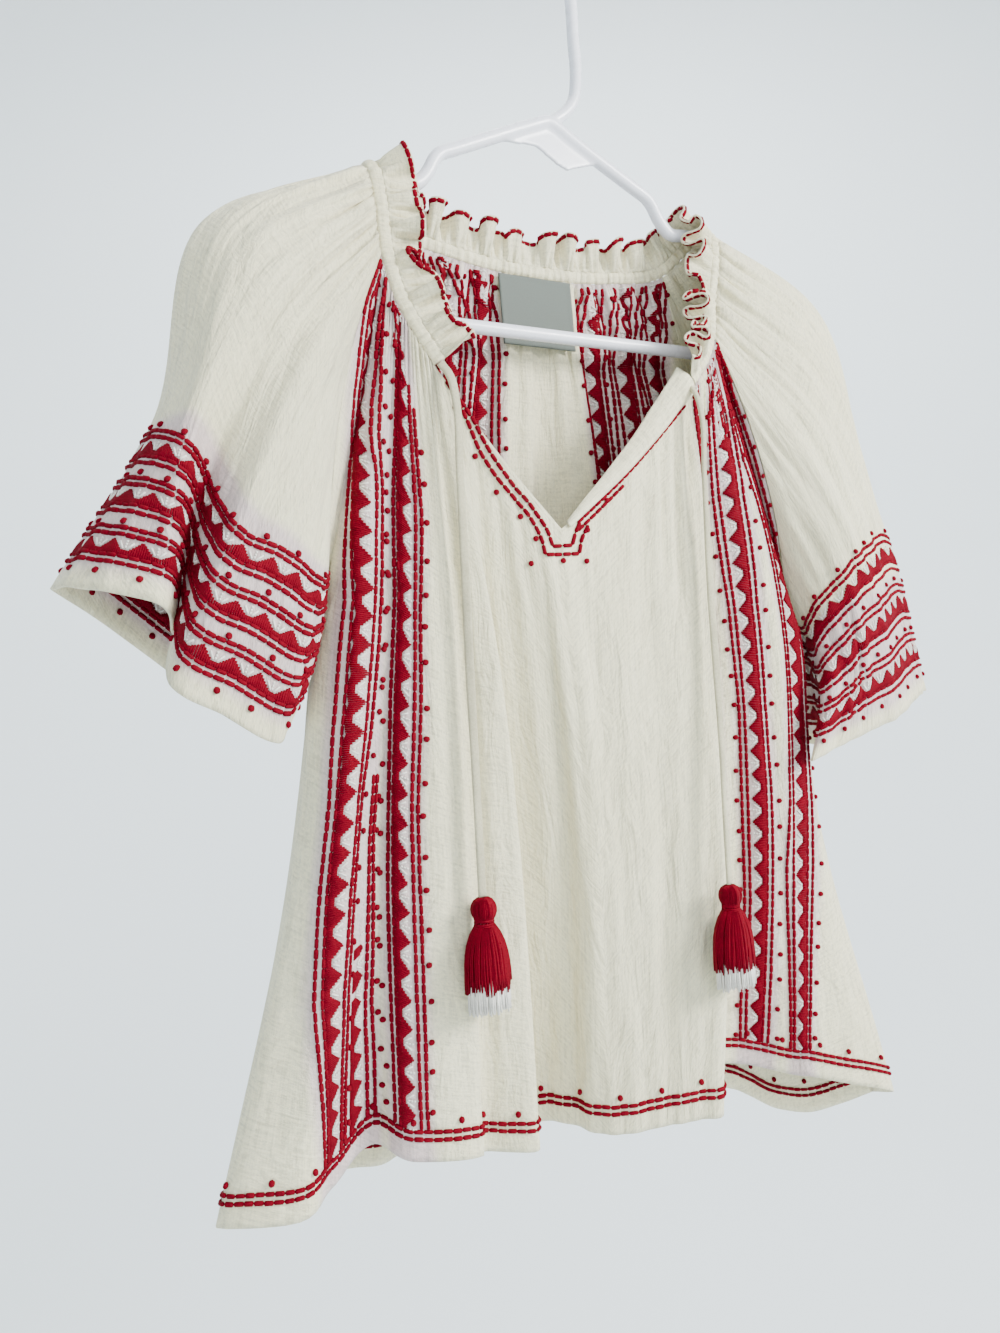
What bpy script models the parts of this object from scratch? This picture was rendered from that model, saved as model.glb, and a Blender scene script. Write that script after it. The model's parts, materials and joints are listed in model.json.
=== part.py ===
"""Gathered peasant blouse with an embroidered raglan cut, hanging on a moulded plastic hanger.

The origin is the inner top of the hanger's hook. +Z is up, the blouse faces -Y, and +X is to the
right as one looks at its front. Left and right in every name are the sides seen from the front.
The tables are in millimetres, and MM turns them into metres.
"""
import math

import bmesh
import bpy
import numpy as np

MM = 0.001

# Driving sizes of the hanger
HANGER_TUBE_R = 4.2
HOOK_R = 26.0
HOOK_STEM_X = 26.0
APEX_Z = -108.0
ARM_SLOPE = math.tan(math.radians(24.9))
HANGER_HALF_WIDTH = 212.5
NOTCH_X = 86.0
NOTCH_DEPTH = 13.0
BAR_Z = -244.5
WEB_HALF = 42.0
WEB_THICK = 2.2

# Driving sizes of the cloth
WALL = 1.2
SEAM_GAP = 0.45
CASING_H = 5.0
CASING_D = 3.0
CASING_GAP = 0.95
FRILL_H = 20.0
FRILL_WAVES = 27
FRILL_AMP = 3.6
CORD_DIA = 4.2
TASSEL_HEAD_R = 6.0
TASSEL_SKIRT_R = 13.5
TASSEL_DEPTH = 0.62
LABEL_LEFT_X = -31.0
LABEL_WIDTH = 54.0
LABEL_HEIGHT = 45.0
LABEL_TOP = (18.4, -201.0)

CREAM = (0.80, 0.75, 0.64, 1.0)
RED = (0.50, 0.01, 0.03, 1.0)
WHITE = (0.86, 0.87, 0.90, 1.0)
SOFT_WHITE = (0.85, 0.84, 0.80, 1.0)

# Neck line, the middle of the casing, from the left front corner over the back to the right one:
# x, y, z and the direction in which the frill stands off it
NECK = [
    (-102, -30, -278, 0.86, -0.42, 0.30),
    (-112, -26, -259, 0.90, -0.38, 0.20),
    (-119, -20, -238, 0.92, -0.30, 0.15),
    (-122, -15, -215, 0.92, -0.18, 0.22),
    (-123, -12, -181, 0.90, -0.12, 0.35),
    (-124, -9, -166, 0.88, -0.12, 0.42),
    (-124, 0, -158.6, 0.90, -0.10, 0.40),
    (-118, 9, -166, 0.62, -0.10, 0.72),
    (-98, 17, -184, 0.24, -0.10, 0.96),
    (-60, 20, -192, 0.05, -0.15, 0.98),
    (0, 21, -196, 0.00, -0.15, 0.98),
    (60, 20, -192, -0.05, -0.15, 0.98),
    (98, 17, -184, -0.24, -0.10, 0.96),
    (118, 9, -166, -0.62, -0.10, 0.72),
    (124, 0, -158.6, -0.90, -0.10, 0.40),
    (125, -9, -166, -0.88, -0.12, 0.42),
    (123, -12, -183, -0.90, -0.14, 0.35),
    (117, -13, -210, -0.92, -0.22, 0.25),
    (108, -20, -238, -0.90, -0.38, 0.15),
    (95, -26, -258, -0.82, -0.52, 0.20),
    (79, -30, -275, -0.70, -0.62, 0.35),
]
# Where the raglan seams meet the neck line, as row numbers of NECK
NECK_FRONT_LEFT, NECK_BACK_LEFT, NECK_BACK_RIGHT, NECK_FRONT_RIGHT = 3, 8, 12, 18

V_BOTTOM = (-30, -31, -370)

# Raglan seams below the neck, down to the underarm: x, y, z
RAGLAN_FRONT_LEFT = [(-140, -20, -246), (-155, -23, -285), (-165, -21, -335), (-170, -12, -385), (-171, 0, -416),
                     (-171, 10, -432)]
RAGLAN_BACK_LEFT = [(-117, 23, -228), (-134, 26, -280), (-152, 26, -340), (-168, 18, -400), (-171, 10, -432)]
RAGLAN_FRONT_RIGHT = [(126, -25, -285), (143, -25, -335), (161, -16, -385), (171, -3, -420), (172, 10, -442)]
RAGLAN_BACK_RIGHT = [(117, 23, -230), (136, 26, -290), (154, 26, -350), (169, 18, -408), (172, 10, -442)]

CHEST_Z = -430
WAIST_Z = -560
# Share of a side line that lies above the underarm
UNDERARM = 0.38
# Side seams below the underarm: waist x y, then hem x y z
SIDE_LEFT = ((-193, 20), (-238, 30, -736))
SIDE_RIGHT = ((184, 5), (222, -10, -777))

# Folds of the front: place on its top edge, chest x y, waist x y, hem x y z.
# The top edge runs 0 to 1 along the left neck, 1 to 2 down the slit, 2 to 3 up it and 3 to 4 along
# the right neck. The raglan and side seams bound it at 0 and 4.
FRONT_FOLDS = [
    ("flare_left", 0.05, (-174, -5), (-199, -2), (-244, 12, -729)),
    ("plain_left", 0.12, (-170, -19), (-192, -20), (-210, -10, -728)),
    ("column_outer_left", 0.22, (-161, -26), (-178, -25), (-188, 0, -722)),
    ("valley_columns_left", 0.42, (-143, -19), (-155, -14), (-161, 4, -707)),
    ("column_inner_left", 0.62, (-129, -28), (-139, -26), (-144, -16, -714)),
    ("crest_left", 0.82, (-107, -33), (-108, -32), (-106, -22, -720)),
    ("small_valley_left", 0.93, (-98, -24), (-97, -20), (-97, -10, -725)),
    ("fold_edge_left", 1.05, (-82, -31), (-73, -27), (-72, -21, -728)),
    ("deep_valley_left", 1.27, (-75, -12), (-67, 2), (-66, 20, -731)),
    ("centre_left", 1.52, (-54, -20), (-44, -8), (-42, 12, -731)),
    ("slit_foot", 2.00, (-28, -31), (-18, -27), (-18, -22, -734)),
    ("centre_right", 2.45, (14, -33), (18, -34), (14, -35, -733)),
    ("round_right", 2.80, (52, -36), (50, -40), (34, -43, -732)),
    ("fold_edge_right", 3.00, (76, -36), (72, -40), (50, -45, -732)),
    ("deep_valley_right", 3.16, (86, -19), (80, -14), (67, -10, -732)),
    ("column_hidden_right", 3.38, (98, -18), (96, -12), (92, 4, -727)),
    ("column_middle_right", 3.62, (125, -27), (130, -25), (136, -18, -739)),
    ("column_outer_right", 3.84, (150, -26), (157, -24), (160, -30, -746)),
    ("flare_right", 3.95, (170, -13), (182, -14), (211, -38, -765)),
]

# Folds of the back: place on the neck from right to left, chest x y, waist x y, hem x y z
BACK_FOLDS = [
    ("flare_right", 0.05, (169, 17), (173, 27), (196, 12, -790)),
    ("crest_1", 0.13, (148, 31), (148, 35), (164, 24, -786)),
    ("valley_1", 0.23, (112, 23), (116, 25), (124, 30, -762)),
    ("crest_2", 0.32, (76, 36), (82, 41), (84, 52, -750)),
    ("valley_2", 0.41, (38, 23), (42, 27), (40, 35, -746)),
    ("crest_3", 0.50, (0, 36), (0, 42), (-5, 58, -745)),
    ("valley_3", 0.59, (-38, 23), (-42, 27), (-50, 36, -742)),
    ("crest_4", 0.68, (-76, 36), (-84, 42), (-95, 60, -740)),
    ("valley_4", 0.77, (-112, 24), (-122, 28), (-140, 40, -738)),
    ("crest_5", 0.87, (-148, 32), (-158, 40), (-184, 58, -738)),
    ("flare_left", 0.95, (-169, 17), (-183, 33), (-220, 48, -738)),
]

# Folds of the sleeves: place on the armhole edge, then upper, lower and cuff points x y z.
# The edge runs 0 to 1 up the front raglan, 1 to 2 along the neck and 2 to 3 down the back raglan.
SLEEVE_LEFT_FOLDS = [
    ("under", 0.00, (-184, 3, -436), (-190, -3, -453), (-196, -8, -470)),
    ("inner_front", 0.18, (-180, -22, -425), (-192, -32, -450), (-203, -33, -469)),
    ("lobe_inner", 0.42, (-181, -36, -400), (-199, -46, -440), (-213, -46, -478)),
    ("lobe_middle", 0.70, (-186, -44, -352), (-216, -52, -410), (-238, -50, -463)),
    ("lobe_edge", 1.00, (-188, -42, -296), (-230, -49, -368), (-262, -42, -441)),
    ("valley", 1.14, (-190, -33, -266), (-232, -28, -344), (-252, -14, -421)),
    ("lobe_front", 1.26, (-190, -33, -247), (-240, -38, -325), (-262, -44, -410)),
    ("lobe_top", 1.40, (-201, -25, -222), (-243, -33, -314), (-284, -35, -402)),
    ("shoulder_front", 1.57, (-211, -12, -209), (-248, -18, -312), (-298, -20, -398)),
    ("shoulder", 1.69, (-217, 0, -204.5), (-250, -2, -312), (-303, -4, -397)),
    ("shoulder_back", 1.81, (-211, 12, -210), (-246, 14, -314), (-298, 14, -399)),
    ("back_top", 1.90, (-194, 26, -235), (-234, 32, -332), (-274, 34, -414)),
    ("back_valley", 2.00, (-178, 33, -275), (-218, 34, -372), (-243, 40, -440)),
    ("back_middle", 2.35, (-174, 34, -335), (-202, 38, -410), (-220, 36, -462)),
    ("back_inner", 2.70, (-172, 32, -388), (-190, 34, -436), (-203, 28, -474)),
    ("under_back", 2.86, (-178, 19, -426), (-189, 16, -454), (-199, 11, -474)),
    ("under", 3.00, (-184, 3, -436), (-190, -3, -453), (-196, -8, -470)),
]
SLEEVE_RIGHT_FOLDS = [
    ("under", 0.00, (187, 1, -447), (193, -10, -486), (192, -22, -523)),
    ("inner_front", 0.18, (182, -17, -447), (168, -38, -488), (150, -42, -526)),
    ("lobe_inner", 0.42, (180, -34, -425), (188, -44, -472), (178, -43, -518)),
    ("lobe_middle", 0.70, (180, -42, -380), (202, -46, -447), (207, -43, -511)),
    ("lobe_edge", 1.00, (178, -42, -330), (222, -44, -416), (246, -38, -503)),
    ("valley", 1.16, (177, -36, -280), (237, -34, -386), (276, -28, -494)),
    ("lobe_front", 1.35, (187, -28, -242), (254, -27, -366), (298, -18, -490)),
    ("shoulder_front", 1.55, (208, -15, -214), (265, -13, -356), (312, -8, -490)),
    ("shoulder", 1.69, (229, 0, -202), (271, 2, -355), (318, 2, -490)),
    ("shoulder_back", 1.81, (216, 13, -212), (266, 16, -362), (315, 15, -494)),
    ("back_top", 1.90, (196, 26, -240), (246, 34, -392), (284, 36, -505)),
    ("back_valley", 2.00, (182, 34, -278), (226, 38, -430), (252, 38, -513)),
    ("back_middle", 2.35, (174, 36, -340), (208, 38, -455), (226, 34, -518)),
    ("back_inner", 2.70, (174, 30, -400), (196, 28, -474), (208, 20, -520)),
    ("under_back", 2.86, (181, 15, -438), (196, 10, -486), (203, 2, -522)),
    ("under", 3.00, (187, 1, -447), (193, -10, -486), (192, -22, -523)),
]

# Hand-placed routes of the drawstring's free ends, from the casing's corner to the tassel
CORD_LEFT = [(-101.6, -30.2, -278.85), (-100.6, -30.8, -280.7), (-100.0, -33.5, -283.5), (-99.0, -36.5, -289),
             (-98.5, -39, -300), (-99.5, -40, -340), (-101, -40.5, -400), (-102.5, -41, -450),
             (-103.5, -41.5, -500), (-104.5, -42, -540), (-105, -42, -572)]
CORD_RIGHT = [(78.3, -30.4, -275.8), (77.1, -30.9, -277.2), (76.5, -33.5, -280.8), (76.3, -37, -286.5),
              (76, -40, -297), (73, -42, -340), (69, -45, -400), (66, -48.5, -450), (63, -52, -500),
              (59, -55, -550), (56, -58, -590)]

# Rows of the cloth grids, closer together at the gathers
BODY_ROWS = [0, 0.03, 0.07, 0.12, 0.19, 0.28, 0.38, 0.49, 0.60, 0.71, 0.82, 0.92, 1]
SLEEVE_ROWS = [0, 0.06, 0.13, 0.23, 0.36, 0.50, 0.66, 0.83, 1]


def unit(v):
    return v / np.maximum(np.linalg.norm(v, axis=-1, keepdims=True), 1e-12)


def spline(knots, values, at):
    """Smooth curve through values at the knots, with tangents from its neighbours."""
    knots = np.asarray(knots, float)
    values = np.asarray(values, float)
    at = np.clip(np.asarray(at, float), knots[0], knots[-1])
    steps = np.diff(knots)[:, None]
    slopes = np.diff(values, axis=0) / steps
    inner = (slopes[:-1] * steps[1:] + slopes[1:] * steps[:-1]) / (steps[1:] + steps[:-1])
    tangents = np.vstack([slopes[:1], inner, slopes[-1:]])
    i = np.clip(np.searchsorted(knots, at, side="right") - 1, 0, len(knots) - 2)
    h = (knots[i + 1] - knots[i])[:, None]
    f = (at - knots[i])[:, None] / h
    return ((2 * f**3 - 3 * f**2 + 1) * values[i] + (f**3 - 2 * f**2 + f) * h * tangents[i]
            + (3 * f**2 - 2 * f**3) * values[i + 1] + (f**3 - f**2) * h * tangents[i + 1])


def curve_by_length(points, count=200):
    """A smooth curve through the points, as a function of its length from 0 to 1."""
    points = np.asarray(points, float)
    chords = np.concatenate([[0], np.cumsum(np.linalg.norm(np.diff(points[:, :3], axis=0), axis=1))])
    fine = spline(chords, points, np.linspace(0, chords[-1], count))
    run = np.concatenate([[0], np.cumsum(np.linalg.norm(np.diff(fine[:, :3], axis=0), axis=1))])
    run /= run[-1]
    return lambda at: np.stack([np.interp(at, run, fine[:, c]) for c in range(fine.shape[1])], axis=-1)


def neck_frame(at):
    """Points, frill directions and outward normals at places 0 to 1 along the neck line."""
    fine = curve_by_length(NECK, 600)(np.linspace(0, 1, 600))
    tangent = unit(np.gradient(fine[:, :3], axis=0))
    up = unit(fine[:, 3:6] - tangent * np.sum(fine[:, 3:6] * tangent, axis=1, keepdims=True))
    frame = np.hstack([fine[:, :3], up, unit(np.cross(up, tangent))])
    rows = np.stack([np.interp(at, np.linspace(0, 1, 600), frame[:, c]) for c in range(9)], axis=-1)
    return rows[..., :3], unit(rows[..., 3:6]), unit(rows[..., 6:9])


def neck_place(row):
    """Place along the neck line of one row of its table."""
    fine = curve_by_length(NECK, 600)(np.linspace(0, 1, 600))[:, :3]
    return float(np.argmin(np.linalg.norm(fine - np.array(NECK[row][:3]), axis=1))) / 599


def neck_edge(first, last):
    """Where a panel's edge meets the underside of the casing, between two rows of the table."""
    start, end = neck_place(first), neck_place(last)

    def edge(at):
        points, up, out = neck_frame(start + (end - start) * np.asarray(at, float))
        return points - up * (CASING_H / 2 + CASING_GAP)
    return edge


def corner(row):
    """The panel's corner under one row of the neck table."""
    return tuple(neck_edge(row, row)([0.0])[0])


def raglan(row, points, rising):
    """A raglan seam between the neck and the underarm."""
    line = [corner(row)] + list(points)
    return curve_by_length(line[::-1] if rising else line)


def slit_edge(row, rising):
    """One edge of the neck slit, slightly bowed."""
    top = np.array(corner(row))
    foot = np.array(V_BOTTOM, float)
    middle = (top + foot) / 2 + np.array([0, -1.0, -4.0])
    line = [top, middle, foot]
    return curve_by_length(line[::-1] if rising else line)


def edge_function(parts):
    """One running edge made of several curves, part n covering n to n + 1."""
    def edge(at):
        at = np.asarray(at, float)
        index = np.clip(at.astype(int), 0, len(parts) - 1)
        out = np.zeros((len(at), 3))
        for n, part in enumerate(parts):
            here = index == n
            out[here] = part(at[here] - n)[:, :3]
        return out
    return edge


FRONT_EDGE = edge_function([
    neck_edge(NECK_FRONT_LEFT, 0), slit_edge(0, False), slit_edge(len(NECK) - 1, True),
    neck_edge(len(NECK) - 1, NECK_FRONT_RIGHT)])
BACK_EDGE = edge_function([neck_edge(NECK_BACK_RIGHT, NECK_BACK_LEFT)])
SLEEVE_LEFT_EDGE = edge_function([
    raglan(NECK_FRONT_LEFT, RAGLAN_FRONT_LEFT, True), neck_edge(NECK_FRONT_LEFT, NECK_BACK_LEFT),
    raglan(NECK_BACK_LEFT, RAGLAN_BACK_LEFT, False)])
SLEEVE_RIGHT_EDGE = edge_function([
    raglan(NECK_FRONT_RIGHT, RAGLAN_FRONT_RIGHT, True), neck_edge(NECK_FRONT_RIGHT, NECK_BACK_RIGHT),
    raglan(NECK_BACK_RIGHT, RAGLAN_BACK_RIGHT, False)])


def body_row_curve(row, edge):
    """A fold line of the front or back, from its top edge to the hem, over 0 to 1."""
    name, place, chest, waist, hem = row
    top = edge([place])[0]
    line = np.array([tuple(top), (*chest, CHEST_Z), (*waist, WAIST_Z), hem])
    knots = (line[0, 2] - line[:, 2]) / (line[0, 2] - line[-1, 2])
    return lambda at: spline(knots, line, at)


def side_line(seam, side):
    """A panel's side: down the raglan seam to the underarm, then down the side seam."""
    underarm = seam([1.0])[0]
    (x, y), hem = side
    line = np.array([tuple(underarm), (x, y, WAIST_Z), hem])
    fall = line[0, 2] - hem[2]
    knots = [UNDERARM, UNDERARM + (1 - UNDERARM) * (line[0, 2] - WAIST_Z) / fall, 1]

    def curve(at):
        at = np.asarray(at, float)
        upper = seam(np.clip(at / UNDERARM, 0, 1))[:, :3]
        lower = spline(knots, line, np.maximum(at, UNDERARM))
        return np.where((at <= UNDERARM)[:, None], upper, lower)
    return curve


def sleeve_row_curve(row, edge):
    """A fold line of a sleeve, from the armhole edge to the cuff, over 0 to 1."""
    name, place, upper, lower, cuff = row
    top = edge([place])[0]
    line = np.array([tuple(top), upper, lower, cuff])
    run = np.concatenate([[0], np.cumsum(np.linalg.norm(np.diff(line, axis=0), axis=1))])
    return lambda at: spline(run / run[-1], line, at)


def gather(places, downs, waves, depth, reach, first, last, flat=None):
    """Height of the small gathers under the casing, for a grid of places by downs (mm).

    flat is a place where the cloth lies over the hanger's arm, with no gathers.
    """
    along = (places - first) / (last - first)
    inside = np.clip(np.minimum(along, 1 - along) * 12, 0, 1)
    inside[(along < 0) | (along > 1)] = 0
    if flat is not None:
        inside = inside * (1 - np.exp(-((places - flat) / 0.09) ** 2))
    wave = np.cos(2 * math.pi * waves * along + 0.9 * np.sin(2 * math.pi * along * 2.3))
    fade = np.clip(downs / 9, 0, 1) * np.exp(-downs / reach)
    return (depth * wave * inside)[:, None] * fade


def cloth_grid(lines, edge, places, rows, gathers, closed):
    """Points of a panel on a grid: places along its top edge by rows down to its hem.

    lines holds (place, curve) pairs in order, one for each fold and side of the panel.
    """
    places = np.asarray(places, float)
    rows = np.asarray(rows, float)
    fold_places = [place for place, curve in lines]
    tracks = np.stack([curve(rows) for place, curve in lines])
    grid = np.zeros((len(places), len(rows), 3))
    for j in range(len(rows)):
        grid[:, j] = spline(fold_places, tracks[:, j], places)
    slip = edge(places) - grid[:, 0]
    grid += slip[:, None, :] * ((1 - rows) ** 4)[None, :, None]
    if gathers:
        normals = grid_normals(grid, closed)
        downs = np.concatenate([np.zeros((len(places), 1)),
                                np.cumsum(np.linalg.norm(np.diff(grid, axis=1), axis=2), axis=1)], axis=1)
        grid = grid + normals * gather(places, downs, *gathers)[:, :, None]
    return grid


def grid_normals(grid, closed):
    """Unit normals of a grid of points, outward for a panel that runs left to right."""
    if closed:
        across = np.roll(grid, -1, axis=0) - np.roll(grid, 1, axis=0)
    else:
        across = np.gradient(grid, axis=0)
    down = np.gradient(grid, axis=1)
    return unit(np.cross(unit(across), unit(down)))


def places_between(folds, steps, corners):
    """Places along an edge: the fold lines, even steps between them, and the edge's corners."""
    lines = sorted([fold[1] for fold in folds] + list(corners))
    out = []
    for first, last in zip(lines, lines[1:]):
        count = steps if last - first > 0.06 else 2
        out.extend(first + (last - first) * i / count for i in range(count))
    return out + [lines[-1]]


def new_object(name, vertices, faces, colour, roughness=0.9, metallic=0.0, smooth=True):
    """A named object from points in millimetres."""
    mesh = bpy.data.meshes.new(name)
    mesh.from_pydata([tuple(float(c) * MM for c in v) for v in vertices], [], faces)
    bm = bmesh.new()
    bm.from_mesh(mesh)
    bmesh.ops.recalc_face_normals(bm, faces=bm.faces)
    bm.to_mesh(mesh)
    bm.free()
    if smooth:
        mesh.shade_smooth()
    node = bpy.data.objects.new(name, mesh)
    bpy.context.collection.objects.link(node)
    node.data.materials.append(material(name, colour, roughness, metallic))
    return node


def material(name, colour, roughness, metallic):
    finish = bpy.data.materials.new(name + "_finish")
    finish.use_nodes = True
    shader = finish.node_tree.nodes["Principled BSDF"]
    shader.inputs["Base Color"].default_value = colour
    shader.inputs["Roughness"].default_value = roughness
    shader.inputs["Metallic"].default_value = metallic
    return finish


def wall_object(name, grid, closed, thickness, colour):
    """A closed wall of even thickness round a grid of middle points."""
    normals = grid_normals(grid, closed)
    outer = grid + normals * thickness / 2
    inner = grid - normals * thickness / 2
    m, n = grid.shape[:2]
    vertices = list(outer.reshape(-1, 3)) + list(inner.reshape(-1, 3))
    faces = []
    spans = m if closed else m - 1
    base = m * n
    for i in range(spans):
        k = (i + 1) % m
        for j in range(n - 1):
            a, b, c, d = i * n + j, k * n + j, k * n + j + 1, i * n + j + 1
            faces.append((a, b, c, d))
            faces.append((base + d, base + c, base + b, base + a))
        for j in (0, n - 1):
            a, b = i * n + j, k * n + j
            faces.append((b, a, base + a, base + b) if j == 0 else (a, b, base + b, base + a))
    if not closed:
        for j in range(n - 1):
            a, b = j, j + 1
            faces.append((a, b, base + b, base + a))
            a, b = (m - 1) * n + j, (m - 1) * n + j + 1
            faces.append((b, a, base + a, base + b))
    return new_object(name, vertices, faces, colour)


def pull_edge(edge, beside, gap):
    """Draws one edge of a grid back from its seam line, square to the seam and more at the armpits."""
    armpit = np.array([171.0, 10.0, 436.0])
    nearness = np.exp(-(np.linalg.norm(np.abs(edge) - armpit, axis=1) / 45) ** 2)
    seam = unit(np.gradient(edge, axis=0))
    inward = beside - edge
    inward -= seam * np.sum(inward * seam, axis=1, keepdims=True)
    return edge + unit(inward) * (gap * (1 + 2.6 * nearness))[:, None]


def pull_edges(grid, gap, closed):
    """Draws the top edge, and the side edges of an open panel, back from the seams."""
    out = grid.copy()
    out[:, 0] = pull_edge(grid[:, 0], grid[:, 1], gap)
    if not closed:
        out[0] = pull_edge(out[0], out[1], gap)
        out[-1] = pull_edge(out[-1], out[-2], gap)
    return out


def body_lines(folds, edge, first_side, last_side):
    """The fold lines of a body panel between its two side lines."""
    lines = [(fold[1], body_row_curve(fold, edge)) for fold in folds]
    return [(0.0, first_side)] + lines + [(last_side[0], last_side[1])]


def front_grid(places, rows):
    left = side_line(raglan(NECK_FRONT_LEFT, RAGLAN_FRONT_LEFT, False), SIDE_LEFT)
    right = side_line(raglan(NECK_FRONT_RIGHT, RAGLAN_FRONT_RIGHT, False), SIDE_RIGHT)
    lines = body_lines(FRONT_FOLDS, FRONT_EDGE, left, (4.0, right))
    return cloth_grid(lines, FRONT_EDGE, places, rows, None, False)


def back_grid(places, rows):
    right = side_line(raglan(NECK_BACK_RIGHT, RAGLAN_BACK_RIGHT, False), SIDE_RIGHT)
    left = side_line(raglan(NECK_BACK_LEFT, RAGLAN_BACK_LEFT, False), SIDE_LEFT)
    lines = body_lines(BACK_FOLDS, BACK_EDGE, right, (1.0, left))
    return cloth_grid(lines, BACK_EDGE, places, rows, (13, 3.0, 55, 0.0, 1.0), False)


def sleeve_grid(side, places, rows):
    folds, edge = ((SLEEVE_LEFT_FOLDS, SLEEVE_LEFT_EDGE) if side < 0
                   else (SLEEVE_RIGHT_FOLDS, SLEEVE_RIGHT_EDGE))
    lines = [(fold[1], sleeve_row_curve(fold, edge)) for fold in folds]
    return cloth_grid(lines, edge, places, rows, (8, 3.2, 42, 1.0, 2.0, 1.69), True)


def make_panels():
    """The four cut panels of the blouse."""
    front = front_grid(places_between(FRONT_FOLDS, 3, (0, 1, 4)), BODY_ROWS)
    wall_object("front", pull_edges(front, SEAM_GAP, False), False, WALL, CREAM)
    back = back_grid(places_between(BACK_FOLDS, 4, (0, 1)), BODY_ROWS)
    wall_object("back", pull_edges(back, SEAM_GAP, False), False, WALL, CREAM)
    seam_steps = [row / UNDERARM for row in BODY_ROWS if row <= UNDERARM]
    front_seam = [1 - step for step in seam_steps[::-1]][:-1]
    back_seam = [2 + step for step in seam_steps][:-1]
    places = front_seam + [1 + i / 32 for i in range(32)] + back_seam
    for side, name in ((-1, "sleeve_left"), (1, "sleeve_right")):
        sleeve = sleeve_grid(side, places, SLEEVE_ROWS)
        wall_object(name, pull_edges(sleeve, SEAM_GAP, True), True, WALL, CREAM)


def swept_solid(name, points, ups, sides, profile, colour, roughness=0.9, metallic=0.0):
    """A closed bar swept along points; the profile lists (up, side) pairs in millimetres."""
    profile = np.asarray(profile, float)
    k = len(profile)
    rings = (points[:, None, :] + ups[:, None, :] * profile[None, :, :1]
             + sides[:, None, :] * profile[None, :, 1:])
    vertices = list(rings.reshape(-1, 3))
    faces = []
    for i in range(len(points) - 1):
        for j in range(k):
            a, b = i * k + j, i * k + (j + 1) % k
            faces.append((a, b, b + k, a + k))
    faces.append(tuple(range(k))[::-1])
    faces.append(tuple(range((len(points) - 1) * k, len(points) * k)))
    return new_object(name, vertices, faces, colour, roughness, metallic)


def make_neck():
    """The casing that holds the drawstring, and the frill above it."""
    points, up, out = neck_frame(np.linspace(0, 1, 90))
    h, d = CASING_H / 2, CASING_D / 2
    profile = [(h, -d * 0.55), (h, d * 0.55), (0, d), (-h, d * 0.55), (-h, -d * 0.55), (0, -d)]
    swept_solid("neck_casing", points, up, out, profile, CREAM)
    count = FRILL_WAVES * 5 + 1
    run = np.linspace(0, 1, count)
    points, up, out = neck_frame(run)
    wave = np.cos(2 * math.pi * FRILL_WAVES * run)
    levels = np.array([0, 0.5, 1.0])
    grid = np.zeros((count, len(levels), 3))
    foot = CASING_H / 2 + CASING_GAP
    for j, level in enumerate(levels):
        height = foot + FRILL_H * level * (1 - 0.08 * wave)
        grid[:, j] = points + up * height[:, None] + out * (wave * FRILL_AMP * level ** 0.8)[:, None]
    wall_object("neck_frill", grid[:, ::-1], False, 1.0, CREAM)


def tube_points(path, radius, sides, cap_steps=2):
    """Vertices and faces of a round bar with domed ends along a path in the plane y = 0."""
    path = np.asarray(path, float)
    tangent = unit(np.gradient(path, axis=0))
    side = np.tile([0.0, 1.0, 0.0], (len(path), 1))
    up = unit(np.cross(side, tangent))
    rings, faces = [], []
    ends = [(0, -1, path[0]), (len(path) - 1, 1, path[-1])]

    def ring(centre, r, i):
        angles = 2 * math.pi * np.arange(sides) / sides
        return [centre + r * (math.cos(a) * up[i] + math.sin(a) * side[i]) for a in angles]
    index, sign, end = ends[0]
    for s in range(cap_steps, 0, -1):
        angle = s / (cap_steps + 0.6) * math.pi / 2
        rings.append(ring(end - tangent[0] * radius * math.sin(angle), radius * math.cos(angle), 0))
    for i in range(len(path)):
        rings.append(ring(path[i], radius, i))
    for s in range(1, cap_steps + 1):
        angle = s / (cap_steps + 0.6) * math.pi / 2
        rings.append(ring(path[-1] + tangent[-1] * radius * math.sin(angle),
                          radius * math.cos(angle), len(path) - 1))
    vertices = [p for r in rings for p in r]
    for i in range(len(rings) - 1):
        for j in range(sides):
            a, b = i * sides + j, i * sides + (j + 1) % sides
            faces.append((a, b, b + sides, a + sides))
    faces.append(tuple(range(sides))[::-1])
    faces.append(tuple(range((len(rings) - 1) * sides, len(rings) * sides)))
    return vertices, faces


def arm_height(x):
    """Height of the arms' middle line, with the strap notch."""
    return APEX_Z - abs(x) * ARM_SLOPE


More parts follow.
